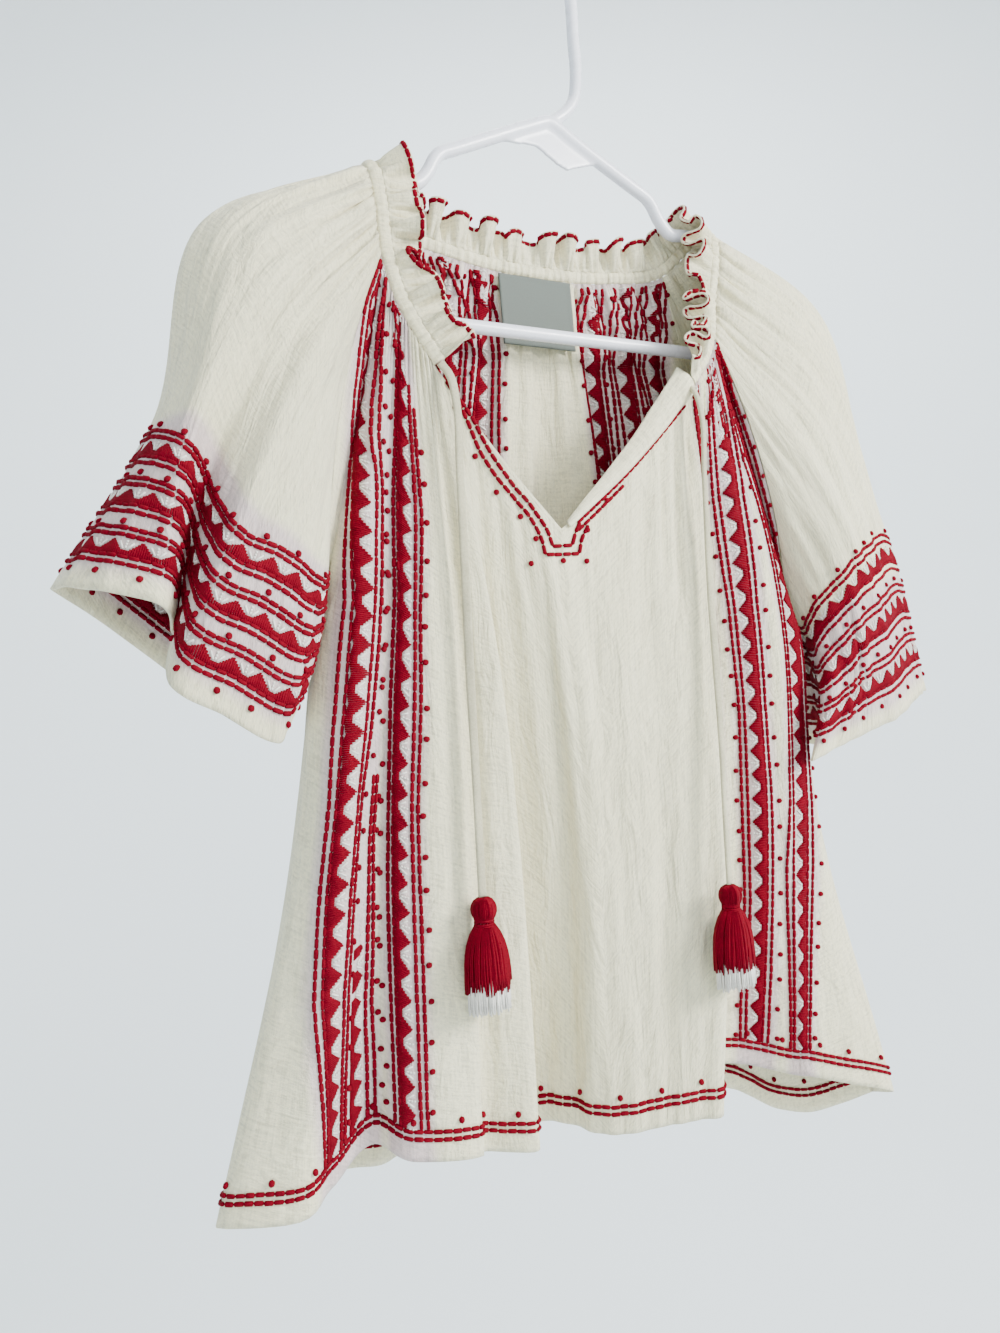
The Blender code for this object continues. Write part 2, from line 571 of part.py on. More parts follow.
def hanger_frame_path():
    """One closed outline of the hanger: along the left arm, down, along the bar and back up."""
    half = [(0, APEX_Z)]
    for x in (20, 45, 68, NOTCH_X - 8):
        half.append((x, arm_height(x)))
    half.append((NOTCH_X + 1, arm_height(NOTCH_X + 1) - NOTCH_DEPTH * 0.75))
    half.append((NOTCH_X + 9, arm_height(NOTCH_X + 9) - NOTCH_DEPTH))
    half.append((NOTCH_X + 20, arm_height(NOTCH_X + 20) - NOTCH_DEPTH * 0.55))
    half.append((NOTCH_X + 32, arm_height(NOTCH_X + 32) - NOTCH_DEPTH * 0.12))
    for x in (135, 160, 185):
        half.append((x, arm_height(x)))
    nose_r = (arm_height(200) - BAR_Z) / 2
    nose_z = BAR_Z + nose_r
    nose_x = HANGER_HALF_WIDTH - HANGER_TUBE_R - 0.95 * nose_r
    for degrees in (62, 40, 15, -10, -35, -60, -90):
        angle = math.radians(degrees)
        half.append((nose_x + nose_r * 0.95 * math.cos(angle), nose_z + nose_r * math.sin(angle)))
    for x in (160, 110, 55, 0):
        half.append((x, BAR_Z))
    right = half
    left = [(-x, z) for x, z in half[1:-1]][::-1]
    return [(x, 0.0, z) for x, z in right + left]


def closed_tube(name, path, radius, sides, colour):
    """A ring-shaped bar whose path comes back to its start."""
    path = np.asarray(path, float)
    tangent = unit(np.roll(path, -1, axis=0) - np.roll(path, 1, axis=0))
    side = np.array([0.0, 1.0, 0.0])
    up = unit(np.cross(side, tangent))
    count = len(path)
    vertices = []
    for i in range(count):
        for j in range(sides):
            a = 2 * math.pi * j / sides
            vertices.append(path[i] + radius * (math.cos(a) * up[i] + math.sin(a) * side))
    faces = []
    for i in range(count):
        k = (i + 1) % count
        for j in range(sides):
            j2 = (j + 1) % sides
            faces.append((i * sides + j, i * sides + j2, k * sides + j2, k * sides + j))
    return new_object(name, vertices, faces, colour, 0.25)


def union(target, tools):
    """Fuses the tools into the target and removes them."""
    for tool in tools:
        fuse = target.modifiers.new("fuse_" + tool.name, "BOOLEAN")
        fuse.operation = "UNION"
        fuse.object = tool
        apply_modifiers(target)
        bpy.data.objects.remove(tool)


def apply_modifiers(node):
    """Bakes the object's modifiers into its mesh."""
    graph = bpy.context.evaluated_depsgraph_get()
    graph.update()
    mesh = bpy.data.meshes.new_from_object(node.evaluated_get(graph))
    node.modifiers.clear()
    node.data = mesh


def make_hanger():
    """The moulded hanger: outline tube, stem and hook, web under the arms' junction."""
    frame = closed_tube("hanger", hanger_frame_path(), HANGER_TUBE_R, 10, WHITE)
    stem = [(2, 0, -109), (14, 0, -101), (23, 0, -90), (HOOK_STEM_X, 0, -76), (HOOK_STEM_X, 0, -50)]
    centre_z = 4 - HOOK_R
    for degrees in range(0, 196, 15):
        angle = math.radians(degrees)
        stem.append((HOOK_R * math.cos(angle), 0, centre_z + HOOK_R * math.sin(angle)))
    vertices, faces = tube_points(stem, HANGER_TUBE_R - 0.2, 10)
    hook = new_object("hook_tool", vertices, faces, WHITE)
    web_outline = [(-WEB_HALF, arm_height(WEB_HALF)), (-10, APEX_Z - 3), (12, APEX_Z - 4),
                   (WEB_HALF, arm_height(WEB_HALF)), (22, -134), (14, -137), (6, -134), (-8, -126)]
    half = WEB_THICK / 2
    vertices = [(x, -half, z) for x, z in web_outline] + [(x, half, z) for x, z in web_outline]
    n = len(web_outline)
    faces = [tuple(range(n)), tuple(range(2 * n - 1, n - 1, -1))]
    faces += [(i, (i + 1) % n, n + (i + 1) % n, n + i) for i in range(n)]
    web = new_object("web_tool", vertices, faces, WHITE)
    union(frame, [hook, web])


def cord_object(name, route):
    """A drawstring end: a slim tube on a smooth curve through its route."""
    line = curve_by_length(route, 300)(np.linspace(0, 1, 27) ** 1.5)
    data = bpy.data.curves.new(name, "CURVE")
    data.dimensions = "3D"
    data.bevel_depth = CORD_DIA / 2 * MM
    data.bevel_resolution = 2
    data.use_fill_caps = True
    track = data.splines.new("POLY")
    track.points.add(len(line) - 1)
    for point, place in zip(track.points, line):
        point.co = (place[0] * MM, place[1] * MM, place[2] * MM, 1)
    node = bpy.data.objects.new(name, data)
    bpy.context.collection.objects.link(node)
    node.data.materials.append(material(name, CREAM, 0.9, 0.0))
    return node


def turned(name, centre, profile, sides, colour):
    """A round solid about a vertical axis; the profile lists (radius, z) from top to bottom."""
    vertices, faces = [], []
    for r, z in profile:
        for j in range(sides):
            a = 2 * math.pi * j / sides
            vertices.append((centre[0] + r * math.cos(a), centre[1] + r * math.sin(a), centre[2] + z))
    for i in range(len(profile) - 1):
        for j in range(sides):
            a, b = i * sides + j, i * sides + (j + 1) % sides
            faces.append((a, b, b + sides, a + sides))
    faces.append(tuple(range(sides)))
    faces.append(tuple(range((len(profile) - 1) * sides, len(profile) * sides))[::-1])
    return new_object(name, vertices, faces, colour)


def strand(start, end, radius, turn):
    """A three-sided strand between two points."""
    start, end = np.asarray(start, float), np.asarray(end, float)
    along = unit(end - start)
    side = unit(np.cross(along, [math.cos(turn), math.sin(turn), 0.1]))
    other = np.cross(along, side)
    vertices = []
    for centre, r in ((start, radius), (end, radius * 0.8)):
        for j in range(3):
            a = 2 * math.pi * j / 3
            vertices.append(centre + r * (math.cos(a) * side + math.sin(a) * other))
    faces = [(0, 1, 2), (5, 4, 3), (0, 3, 4, 1), (1, 4, 5, 2), (2, 5, 3, 0)]
    return vertices, faces


def strand_bundle(name, centre, rings, top_z, colour):
    """Separate strands round an axis; a ring is (count, top radius, foot radius, length).

    The foot of the bundle is an oval, TASSEL_DEPTH as deep as it is wide, to hang clear of the cloth.
    """
    vertices, faces = [], []
    for r, (count, top_r, foot_r, length) in enumerate(rings):
        for i in range(count):
            a = 2 * math.pi * (i + 0.5 * r) / count
            ragged = 1 + 0.05 * math.sin(5.0 * a + 2.0 * r) + 0.03 * math.sin(11.0 * a)
            start = (centre[0] + top_r * math.cos(a), centre[1] + top_r * math.sin(a), centre[2] + top_z)
            end = (centre[0] + foot_r * math.cos(a), centre[1] + max(foot_r * TASSEL_DEPTH, top_r) * math.sin(a),
                   centre[2] + top_z - length * ragged)
            v, f = strand(start, end, 0.75, a)
            base = len(vertices)
            vertices.extend(v)
            faces.extend(tuple(base + q for q in face) for face in f)
    return new_object(name, vertices, faces, colour)


def make_tassel(side_name, top):
    """A red wool tassel with white inner strands that show below the red ones."""
    head_profile = [(1.2, -0.4), (3.6, -1.2), (TASSEL_HEAD_R - 0.4, -4), (TASSEL_HEAD_R, -7),
                    (TASSEL_HEAD_R - 0.9, -10.5), (4.4, -12), (4.6, -13.5), (6.3, -16), (7.6, -20), (7.4, -22)]
    head = turned("tassel_" + side_name, top, head_profile, 14, RED)
    outer = strand_bundle("strand_tool", top, [(22, 7.0, TASSEL_SKIRT_R, 31), (12, 4.9, 9.6, 31)], -19.5, RED)
    union(head, [outer])
    tips_head = turned("tassel_tips_" + side_name, top, [(3.8, -22.4), (4.3, -25.0)], 12, SOFT_WHITE)
    inner = strand_bundle("tips_tool", top, [(12, 3.3, 8.4, 37), (5, 1.3, 4.2, 37)], -24.2, SOFT_WHITE)
    union(tips_head, [inner])


def make_label():
    """The blank sewn label inside the back of the neck."""
    count, rows = 6, 4
    y, z = LABEL_TOP
    grid = np.zeros((count, rows, 3))
    for i in range(count):
        for j in range(rows):
            x = LABEL_LEFT_X + LABEL_WIDTH * i / (count - 1)
            grid[i, j] = (x, y - 0.4 * j, z - LABEL_HEIGHT * j / (rows - 1))
    wall_object("neck_label", grid, False, 1.0, (0.55, 0.52, 0.44, 1.0))


def main():
    for old in list(bpy.data.objects):
        bpy.data.objects.remove(old)
    make_hanger()
    make_panels()
    make_neck()
    cord_object("drawstring_left", CORD_LEFT)
    cord_object("drawstring_right", CORD_RIGHT)
    make_tassel("left", (CORD_LEFT[-1][0], CORD_LEFT[-1][1], CORD_LEFT[-1][2] - 0.2))
    make_tassel("right", (CORD_RIGHT[-1][0], CORD_RIGHT[-1][1], CORD_RIGHT[-1][2] - 0.2))
    make_label()


main()
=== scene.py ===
"""Dressed model of a gathered peasant blouse that hangs open on a moulded plastic hanger.

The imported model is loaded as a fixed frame: the origin is the inner top of the hanger's hook, +Z is
up, the blouse faces -Y, and left and right are the sides seen from the front. Tables are in
millimetres, and MM turns them into metres. The cloth follows the same tables as the solids.
"""
import json
import math

import bmesh
import bpy
import numpy as np
from mathutils import Matrix, Vector
from mathutils.bvhtree import BVHTree

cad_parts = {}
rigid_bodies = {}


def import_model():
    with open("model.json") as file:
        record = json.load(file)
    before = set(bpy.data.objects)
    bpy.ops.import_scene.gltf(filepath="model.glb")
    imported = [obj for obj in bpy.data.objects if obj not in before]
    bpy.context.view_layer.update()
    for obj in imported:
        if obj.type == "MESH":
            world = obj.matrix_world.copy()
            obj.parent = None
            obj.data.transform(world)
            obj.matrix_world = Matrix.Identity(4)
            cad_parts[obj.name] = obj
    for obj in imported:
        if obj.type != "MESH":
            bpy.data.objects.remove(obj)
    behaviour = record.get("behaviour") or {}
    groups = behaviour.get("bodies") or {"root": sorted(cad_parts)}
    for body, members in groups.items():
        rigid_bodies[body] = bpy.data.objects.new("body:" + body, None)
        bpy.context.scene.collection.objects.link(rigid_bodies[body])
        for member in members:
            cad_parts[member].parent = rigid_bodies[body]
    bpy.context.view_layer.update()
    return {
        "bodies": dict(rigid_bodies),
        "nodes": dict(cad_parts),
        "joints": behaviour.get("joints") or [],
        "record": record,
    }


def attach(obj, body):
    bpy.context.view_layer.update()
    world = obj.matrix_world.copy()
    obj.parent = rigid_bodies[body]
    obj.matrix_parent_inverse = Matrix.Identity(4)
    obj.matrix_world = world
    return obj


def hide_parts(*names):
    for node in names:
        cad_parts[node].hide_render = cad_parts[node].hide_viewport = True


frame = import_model()

bl_info = {
    "name": "Peasant blouse on a hanger",
    "version": (1, 0, 0),
    "blender": (4, 5, 0),
    "location": "3D View > Sidebar > Blouse",
    "description": "Cloth, folk embroidery, drawstring, tassels and hanger of a peasant blouse",
    "category": "Object",
}

MM = 0.001

# Driving sizes of the hanger
HANGER_TUBE_R = 4.2
HOOK_R = 26.0
HOOK_STEM_X = 26.0
APEX_Z = -108.0
ARM_SLOPE = math.tan(math.radians(24.9))
HANGER_HALF_WIDTH = 212.5
NOTCH_X = 86.0
NOTCH_DEPTH = 13.0
BAR_Z = -244.5
WEB_HALF = 42.0
WEB_THICK = 2.2

# Driving sizes of the cloth
SEAM_GAP = 0.45
CASING_H = 5.0
CASING_D = 3.0
CASING_GAP = 0.95
FRILL_H = 20.0
FRILL_WAVES = 27
FRILL_AMP = 3.6
CORD_DIA = 4.2
TASSEL_HEAD_R = 6.0
TASSEL_DEPTH = 0.62
LABEL_LEFT_X = -31.0
LABEL_WIDTH = 54.0
LABEL_HEIGHT = 45.0
LABEL_TOP = (18.4, -201.0)

# Neck line, the middle of the casing, from the left front corner over the back to the right one:
# x, y, z and the direction in which the frill stands off it
NECK = [
    (-102, -30, -278, 0.86, -0.42, 0.30),
    (-112, -26, -259, 0.90, -0.38, 0.20),
    (-119, -20, -238, 0.92, -0.30, 0.15),
    (-122, -15, -215, 0.92, -0.18, 0.22),
    (-123, -12, -181, 0.90, -0.12, 0.35),
    (-124, -9, -166, 0.88, -0.12, 0.42),
    (-124, 0, -158.6, 0.90, -0.10, 0.40),
    (-118, 9, -166, 0.62, -0.10, 0.72),
    (-98, 17, -184, 0.24, -0.10, 0.96),
    (-60, 20, -192, 0.05, -0.15, 0.98),
    (0, 21, -196, 0.00, -0.15, 0.98),
    (60, 20, -192, -0.05, -0.15, 0.98),
    (98, 17, -184, -0.24, -0.10, 0.96),
    (118, 9, -166, -0.62, -0.10, 0.72),
    (124, 0, -158.6, -0.90, -0.10, 0.40),
    (125, -9, -166, -0.88, -0.12, 0.42),
    (123, -12, -183, -0.90, -0.14, 0.35),
    (117, -13, -210, -0.92, -0.22, 0.25),
    (108, -20, -238, -0.90, -0.38, 0.15),
    (95, -26, -258, -0.82, -0.52, 0.20),
    (79, -30, -275, -0.70, -0.62, 0.35),
]
# Where the raglan seams meet the neck line, as row numbers of NECK
NECK_FRONT_LEFT, NECK_BACK_LEFT, NECK_BACK_RIGHT, NECK_FRONT_RIGHT = 3, 8, 12, 18

V_BOTTOM = (-30, -31, -370)

# Raglan seams below the neck, down to the underarm: x, y, z
RAGLAN_FRONT_LEFT = [(-140, -20, -246), (-155, -23, -285), (-165, -21, -335), (-170, -12, -385),
                     (-171, 0, -416), (-171, 10, -432)]
RAGLAN_BACK_LEFT = [(-117, 23, -228), (-134, 26, -280), (-152, 26, -340), (-168, 18, -400), (-171, 10, -432)]
RAGLAN_FRONT_RIGHT = [(126, -25, -285), (143, -25, -335), (161, -16, -385), (171, -3, -420), (172, 10, -442)]
RAGLAN_BACK_RIGHT = [(117, 23, -230), (136, 26, -290), (154, 26, -350), (169, 18, -408), (172, 10, -442)]

CHEST_Z = -430
WAIST_Z = -560
# Share of a side line that lies above the underarm
UNDERARM = 0.38
# Side seams below the underarm: waist x y, then hem x y z
SIDE_LEFT = ((-193, 20), (-238, 30, -736))
SIDE_RIGHT = ((184, 5), (222, -10, -777))

# Folds of the front: place on its top edge, chest x y, waist x y, hem x y z.
# The top edge runs 0 to 1 along the left neck, 1 to 2 down the slit, 2 to 3 up it and 3 to 4 along
# the right neck. The raglan and side seams bound it at 0 and 4.
FRONT_FOLDS = [
    ("flare_left", 0.05, (-174, -5), (-199, -2), (-244, 12, -729)),
    ("plain_left", 0.12, (-170, -19), (-192, -20), (-210, -10, -728)),
    ("column_outer_left", 0.22, (-161, -26), (-178, -25), (-188, 0, -722)),
    ("valley_columns_left", 0.42, (-143, -19), (-155, -14), (-161, 4, -707)),
    ("column_inner_left", 0.62, (-129, -28), (-139, -26), (-144, -16, -714)),
    ("crest_left", 0.82, (-107, -33), (-108, -32), (-106, -22, -720)),
    ("small_valley_left", 0.93, (-98, -24), (-97, -20), (-97, -10, -725)),
    ("fold_edge_left", 1.05, (-82, -31), (-73, -27), (-72, -21, -728)),
    ("deep_valley_left", 1.27, (-75, -12), (-67, 2), (-66, 20, -731)),
    ("centre_left", 1.52, (-54, -20), (-44, -8), (-42, 12, -731)),
    ("slit_foot", 2.00, (-28, -31), (-18, -27), (-18, -22, -734)),
    ("centre_right", 2.45, (14, -33), (18, -34), (14, -35, -733)),
    ("round_right", 2.80, (52, -36), (50, -40), (34, -43, -732)),
    ("fold_edge_right", 3.00, (76, -36), (72, -40), (50, -45, -732)),
    ("deep_valley_right", 3.16, (86, -19), (80, -14), (67, -10, -732)),
    ("column_hidden_right", 3.38, (98, -18), (96, -12), (92, 4, -727)),
    ("column_middle_right", 3.62, (125, -27), (130, -25), (136, -18, -739)),
    ("column_outer_right", 3.84, (150, -26), (157, -24), (160, -30, -746)),
    ("flare_right", 3.95, (170, -13), (182, -14), (211, -38, -765)),
]

# Folds of the back: place on the neck from right to left, chest x y, waist x y, hem x y z
BACK_FOLDS = [
    ("flare_right", 0.05, (169, 17), (173, 27), (196, 12, -790)),
    ("crest_1", 0.13, (148, 31), (148, 35), (164, 24, -786)),
    ("valley_1", 0.23, (112, 23), (116, 25), (124, 30, -762)),
    ("crest_2", 0.32, (76, 36), (82, 41), (84, 52, -750)),
    ("valley_2", 0.41, (38, 23), (42, 27), (40, 35, -746)),
    ("crest_3", 0.50, (0, 36), (0, 42), (-5, 58, -745)),
    ("valley_3", 0.59, (-38, 23), (-42, 27), (-50, 36, -742)),
    ("crest_4", 0.68, (-76, 36), (-84, 42), (-95, 60, -740)),
    ("valley_4", 0.77, (-112, 24), (-122, 28), (-140, 40, -738)),
    ("crest_5", 0.87, (-148, 32), (-158, 40), (-184, 58, -738)),
    ("flare_left", 0.95, (-169, 17), (-183, 33), (-220, 48, -738)),
]

# Folds of the sleeves: place on the armhole edge, then upper, lower and cuff points x y z.
# The edge runs 0 to 1 up the front raglan, 1 to 2 along the neck and 2 to 3 down the back raglan.
SLEEVE_LEFT_FOLDS = [
    ("under", 0.00, (-184, 3, -436), (-190, -3, -453), (-196, -8, -470)),
    ("inner_front", 0.18, (-180, -22, -425), (-192, -32, -450), (-203, -33, -469)),
    ("lobe_inner", 0.42, (-181, -36, -400), (-199, -46, -440), (-213, -46, -478)),
    ("lobe_middle", 0.70, (-186, -44, -352), (-216, -52, -410), (-238, -50, -463)),
    ("lobe_edge", 1.00, (-188, -42, -296), (-230, -49, -368), (-262, -42, -441)),
    ("valley", 1.14, (-190, -33, -266), (-232, -28, -344), (-252, -14, -421)),
    ("lobe_front", 1.26, (-190, -33, -247), (-240, -38, -325), (-262, -44, -410)),
    ("lobe_top", 1.40, (-201, -25, -222), (-243, -33, -314), (-284, -35, -402)),
    ("shoulder_front", 1.57, (-211, -12, -209), (-248, -18, -312), (-298, -20, -398)),
    ("shoulder", 1.69, (-217, 0, -204.5), (-250, -2, -312), (-303, -4, -397)),
    ("shoulder_back", 1.81, (-211, 12, -210), (-246, 14, -314), (-298, 14, -399)),
    ("back_top", 1.90, (-194, 26, -235), (-234, 32, -332), (-274, 34, -414)),
    ("back_valley", 2.00, (-178, 33, -275), (-218, 34, -372), (-243, 40, -440)),
    ("back_middle", 2.35, (-174, 34, -335), (-202, 38, -410), (-220, 36, -462)),
    ("back_inner", 2.70, (-172, 32, -388), (-190, 34, -436), (-203, 28, -474)),
    ("under_back", 2.86, (-178, 19, -426), (-189, 16, -454), (-199, 11, -474)),
    ("under", 3.00, (-184, 3, -436), (-190, -3, -453), (-196, -8, -470)),
]
SLEEVE_RIGHT_FOLDS = [
    ("under", 0.00, (187, 1, -447), (193, -10, -486), (192, -22, -523)),
    ("inner_front", 0.18, (182, -17, -447), (168, -38, -488), (150, -42, -526)),
    ("lobe_inner", 0.42, (180, -34, -425), (188, -44, -472), (178, -43, -518)),
    ("lobe_middle", 0.70, (180, -42, -380), (202, -46, -447), (207, -43, -511)),
    ("lobe_edge", 1.00, (178, -42, -330), (222, -44, -416), (246, -38, -503)),
    ("valley", 1.16, (177, -36, -280), (237, -34, -386), (276, -28, -494)),
    ("lobe_front", 1.35, (187, -28, -242), (254, -27, -366), (298, -18, -490)),
    ("shoulder_front", 1.55, (208, -15, -214), (265, -13, -356), (312, -8, -490)),
    ("shoulder", 1.69, (229, 0, -202), (271, 2, -355), (318, 2, -490)),
    ("shoulder_back", 1.81, (216, 13, -212), (266, 16, -362), (315, 15, -494)),
    ("back_top", 1.90, (196, 26, -240), (246, 34, -392), (284, 36, -505)),
    ("back_valley", 2.00, (182, 34, -278), (226, 38, -430), (252, 38, -513)),
    ("back_middle", 2.35, (174, 36, -340), (208, 38, -455), (226, 34, -518)),
    ("back_inner", 2.70, (174, 30, -400), (196, 28, -474), (208, 20, -520)),
    ("under_back", 2.86, (181, 15, -438), (196, 10, -486), (203, 2, -522)),
    ("under", 3.00, (187, 1, -447), (193, -10, -486), (192, -22, -523)),
]

# Routes of the drawstring's free ends, from the casing's corner to the tassel
CORD_LEFT = [(-101.6, -30.2, -278.85), (-100.6, -30.8, -280.7), (-100.0, -33.5, -283.5), (-99.0, -36.5, -289),
             (-98.5, -39, -300), (-99.5, -40, -340), (-101, -40.5, -400), (-102.5, -41, -450),
             (-103.5, -41.5, -500), (-104.5, -42, -540), (-105, -42, -572)]
CORD_RIGHT = [(78.3, -30.4, -275.8), (77.1, -30.9, -277.2), (76.5, -33.5, -280.8), (76.3, -37, -286.5),
              (76, -40, -297), (73, -42, -340), (69, -45, -400), (66, -48.5, -450), (63, -52, -500),
              (59, -55, -550), (56, -58, -590)]


def unit(v):
    """Vectors scaled to length 1."""
    return v / np.maximum(np.linalg.norm(v, axis=-1, keepdims=True), 1e-12)


def spline(knots, values, at):
    """Smooth curve through values at the knots, with tangents from its neighbours."""
    knots = np.asarray(knots, float)
    values = np.asarray(values, float)
    at = np.clip(np.asarray(at, float), knots[0], knots[-1])
    steps = np.diff(knots)[:, None]
    slopes = np.diff(values, axis=0) / steps
    inner = (slopes[:-1] * steps[1:] + slopes[1:] * steps[:-1]) / (steps[1:] + steps[:-1])
    tangents = np.vstack([slopes[:1], inner, slopes[-1:]])
    i = np.clip(np.searchsorted(knots, at, side="right") - 1, 0, len(knots) - 2)
    h = (knots[i + 1] - knots[i])[:, None]
    f = (at - knots[i])[:, None] / h
    return ((2 * f**3 - 3 * f**2 + 1) * values[i] + (f**3 - 2 * f**2 + f) * h * tangents[i]
            + (3 * f**2 - 2 * f**3) * values[i + 1] + (f**3 - f**2) * h * tangents[i + 1])


def lengths_along(line):
    """Length run along a line of points, from 0 at its first one."""
    return np.concatenate([[0], np.cumsum(np.linalg.norm(np.diff(line, axis=0), axis=1))])


def curve_by_length(points, count=200):
    """A smooth curve through the points, as a function of its length from 0 to 1."""
    points = np.asarray(points, float)
    chords = lengths_along(points[:, :3])
    fine = spline(chords, points, np.linspace(0, chords[-1], count))
    run = lengths_along(fine[:, :3])
    run /= run[-1]
    return lambda at: np.stack([np.interp(at, run, fine[:, c]) for c in range(fine.shape[1])], axis=-1)


NECK_STEPS = 600


def neck_frame(at):
    """Points, frill directions and outward normals at places 0 to 1 along the neck line."""
    fine = curve_by_length(NECK, NECK_STEPS)(np.linspace(0, 1, NECK_STEPS))
    tangent = unit(np.gradient(fine[:, :3], axis=0))
    up = unit(fine[:, 3:6] - tangent * np.sum(fine[:, 3:6] * tangent, axis=1, keepdims=True))
    frame = np.hstack([fine[:, :3], up, unit(np.cross(up, tangent))])
    rows = np.stack([np.interp(at, np.linspace(0, 1, NECK_STEPS), frame[:, c]) for c in range(9)], axis=-1)
    return rows[..., :3], unit(rows[..., 3:6]), unit(rows[..., 6:9])


def neck_place(row):
    """Place along the neck line of one row of its table."""
    fine = curve_by_length(NECK, NECK_STEPS)(np.linspace(0, 1, NECK_STEPS))[:, :3]
    return float(np.argmin(np.linalg.norm(fine - np.array(NECK[row][:3]), axis=1))) / (NECK_STEPS - 1)


def neck_edge(first, last):
    """Where a panel's edge meets the underside of the casing, between two rows of the table."""
    start, end = neck_place(first), neck_place(last)

    def edge(at):
        points, up, _ = neck_frame(start + (end - start) * np.asarray(at, float))
        return points - up * (CASING_H / 2 + CASING_GAP)
    return edge


def corner(row):
    """The panel's corner under one row of the neck table."""
    return tuple(neck_edge(row, row)([0.0])[0])


def raglan(row, points, rising):
    """A raglan seam between the neck and the underarm."""
    line = [corner(row)] + list(points)
    return curve_by_length(line[::-1] if rising else line)


def slit_edge(row, rising):
    """One edge of the neck slit, slightly bowed."""
    top = np.array(corner(row))
    foot = np.array(V_BOTTOM, float)
    middle = (top + foot) / 2 + np.array([0, -1.0, -4.0])
    line = [top, middle, foot]
    return curve_by_length(line[::-1] if rising else line)


def edge_function(parts):
    """One running edge made of several curves, part n covering n to n + 1."""
    def edge(at):
        at = np.asarray(at, float)
        index = np.clip(at.astype(int), 0, len(parts) - 1)
        out = np.zeros((len(at), 3))
        for n, part in enumerate(parts):
            here = index == n
            out[here] = part(at[here] - n)[:, :3]
        return out
    return edge


FRONT_EDGE = edge_function([
    neck_edge(NECK_FRONT_LEFT, 0), slit_edge(0, False), slit_edge(len(NECK) - 1, True),
    neck_edge(len(NECK) - 1, NECK_FRONT_RIGHT)])
BACK_EDGE = edge_function([neck_edge(NECK_BACK_RIGHT, NECK_BACK_LEFT)])
SLEEVE_LEFT_EDGE = edge_function([
    raglan(NECK_FRONT_LEFT, RAGLAN_FRONT_LEFT, True), neck_edge(NECK_FRONT_LEFT, NECK_BACK_LEFT),
    raglan(NECK_BACK_LEFT, RAGLAN_BACK_LEFT, False)])
SLEEVE_RIGHT_EDGE = edge_function([
    raglan(NECK_FRONT_RIGHT, RAGLAN_FRONT_RIGHT, True), neck_edge(NECK_FRONT_RIGHT, NECK_BACK_RIGHT),
    raglan(NECK_BACK_RIGHT, RAGLAN_BACK_RIGHT, False)])


def body_row_curve(row, edge):
    """A fold line of the front or back, from its top edge to the hem, over 0 to 1."""
    place, chest, waist, hem = row[1:]
    top = edge([place])[0]
    line = np.array([tuple(top), (*chest, CHEST_Z), (*waist, WAIST_Z), hem])
    knots = (line[0, 2] - line[:, 2]) / (line[0, 2] - line[-1, 2])
    return lambda at: spline(knots, line, at)


def side_line(seam, side):
    """A panel's side: down the raglan seam to the underarm, then down the side seam."""
    underarm = seam([1.0])[0]
    (x, y), hem = side
    line = np.array([tuple(underarm), (x, y, WAIST_Z), hem])
    fall = line[0, 2] - hem[2]
    knots = [UNDERARM, UNDERARM + (1 - UNDERARM) * (line[0, 2] - WAIST_Z) / fall, 1]

    def curve(at):
        at = np.asarray(at, float)
        upper = seam(np.clip(at / UNDERARM, 0, 1))[:, :3]
        lower = spline(knots, line, np.maximum(at, UNDERARM))
        return np.where((at <= UNDERARM)[:, None], upper, lower)
    return curve


def sleeve_row_curve(row, edge):
    """A fold line of a sleeve, from the armhole edge to the cuff, over 0 to 1."""
    place, upper, lower, cuff = row[1:]
    top = edge([place])[0]
    line = np.array([tuple(top), upper, lower, cuff])
    run = lengths_along(line)
    return lambda at: spline(run / run[-1], line, at)


# Gathers under the casing: number, depth, how far down they reach, first and last place, and for a
# sleeve the place that lies flat over the hanger's arm
BACK_GATHERS = (13, 3.0, 55, 0.0, 1.0)
SLEEVE_GATHERS = (8, 3.2, 42, 1.0, 2.0, 1.69)


def gather(places, downs, waves, depth, reach, first, last, flat=None):
    """Height of the small gathers under the casing, for a grid of places by downs (mm).

    flat is a place where the cloth lies over the hanger's arm, with no gathers.
    """
    along = (places - first) / (last - first)
    inside = np.clip(np.minimum(along, 1 - along) * 12, 0, 1)
    inside[(along < 0) | (along > 1)] = 0
    if flat is not None:
        inside = inside * (1 - np.exp(-((places - flat) / 0.09) ** 2))
    wave = np.cos(2 * math.pi * waves * along + 0.9 * np.sin(2 * math.pi * along * 2.3))
    fade = np.clip(downs / 9, 0, 1) * np.exp(-downs / reach)
    return (depth * wave * inside)[:, None] * fade


def cloth_grid(lines, edge, places, rows, gathers, closed):
    """Points of a panel on a grid: places along its top edge by rows down to its hem.

    lines holds (place, curve) pairs in order, one for each fold and side of the panel.
    """
    places = np.asarray(places, float)
    rows = np.asarray(rows, float)
    fold_places = [place for place, curve in lines]
    tracks = np.stack([curve(rows) for place, curve in lines])
    grid = np.zeros((len(places), len(rows), 3))
    for j in range(len(rows)):
        grid[:, j] = spline(fold_places, tracks[:, j], places)
    slip = edge(places) - grid[:, 0]
    grid += slip[:, None, :] * ((1 - rows) ** 4)[None, :, None]
    if gathers:
        normals = grid_normals(grid, closed)
        grid = grid + normals * gather(places, running(grid, 1), *gathers)[:, :, None]
    return grid


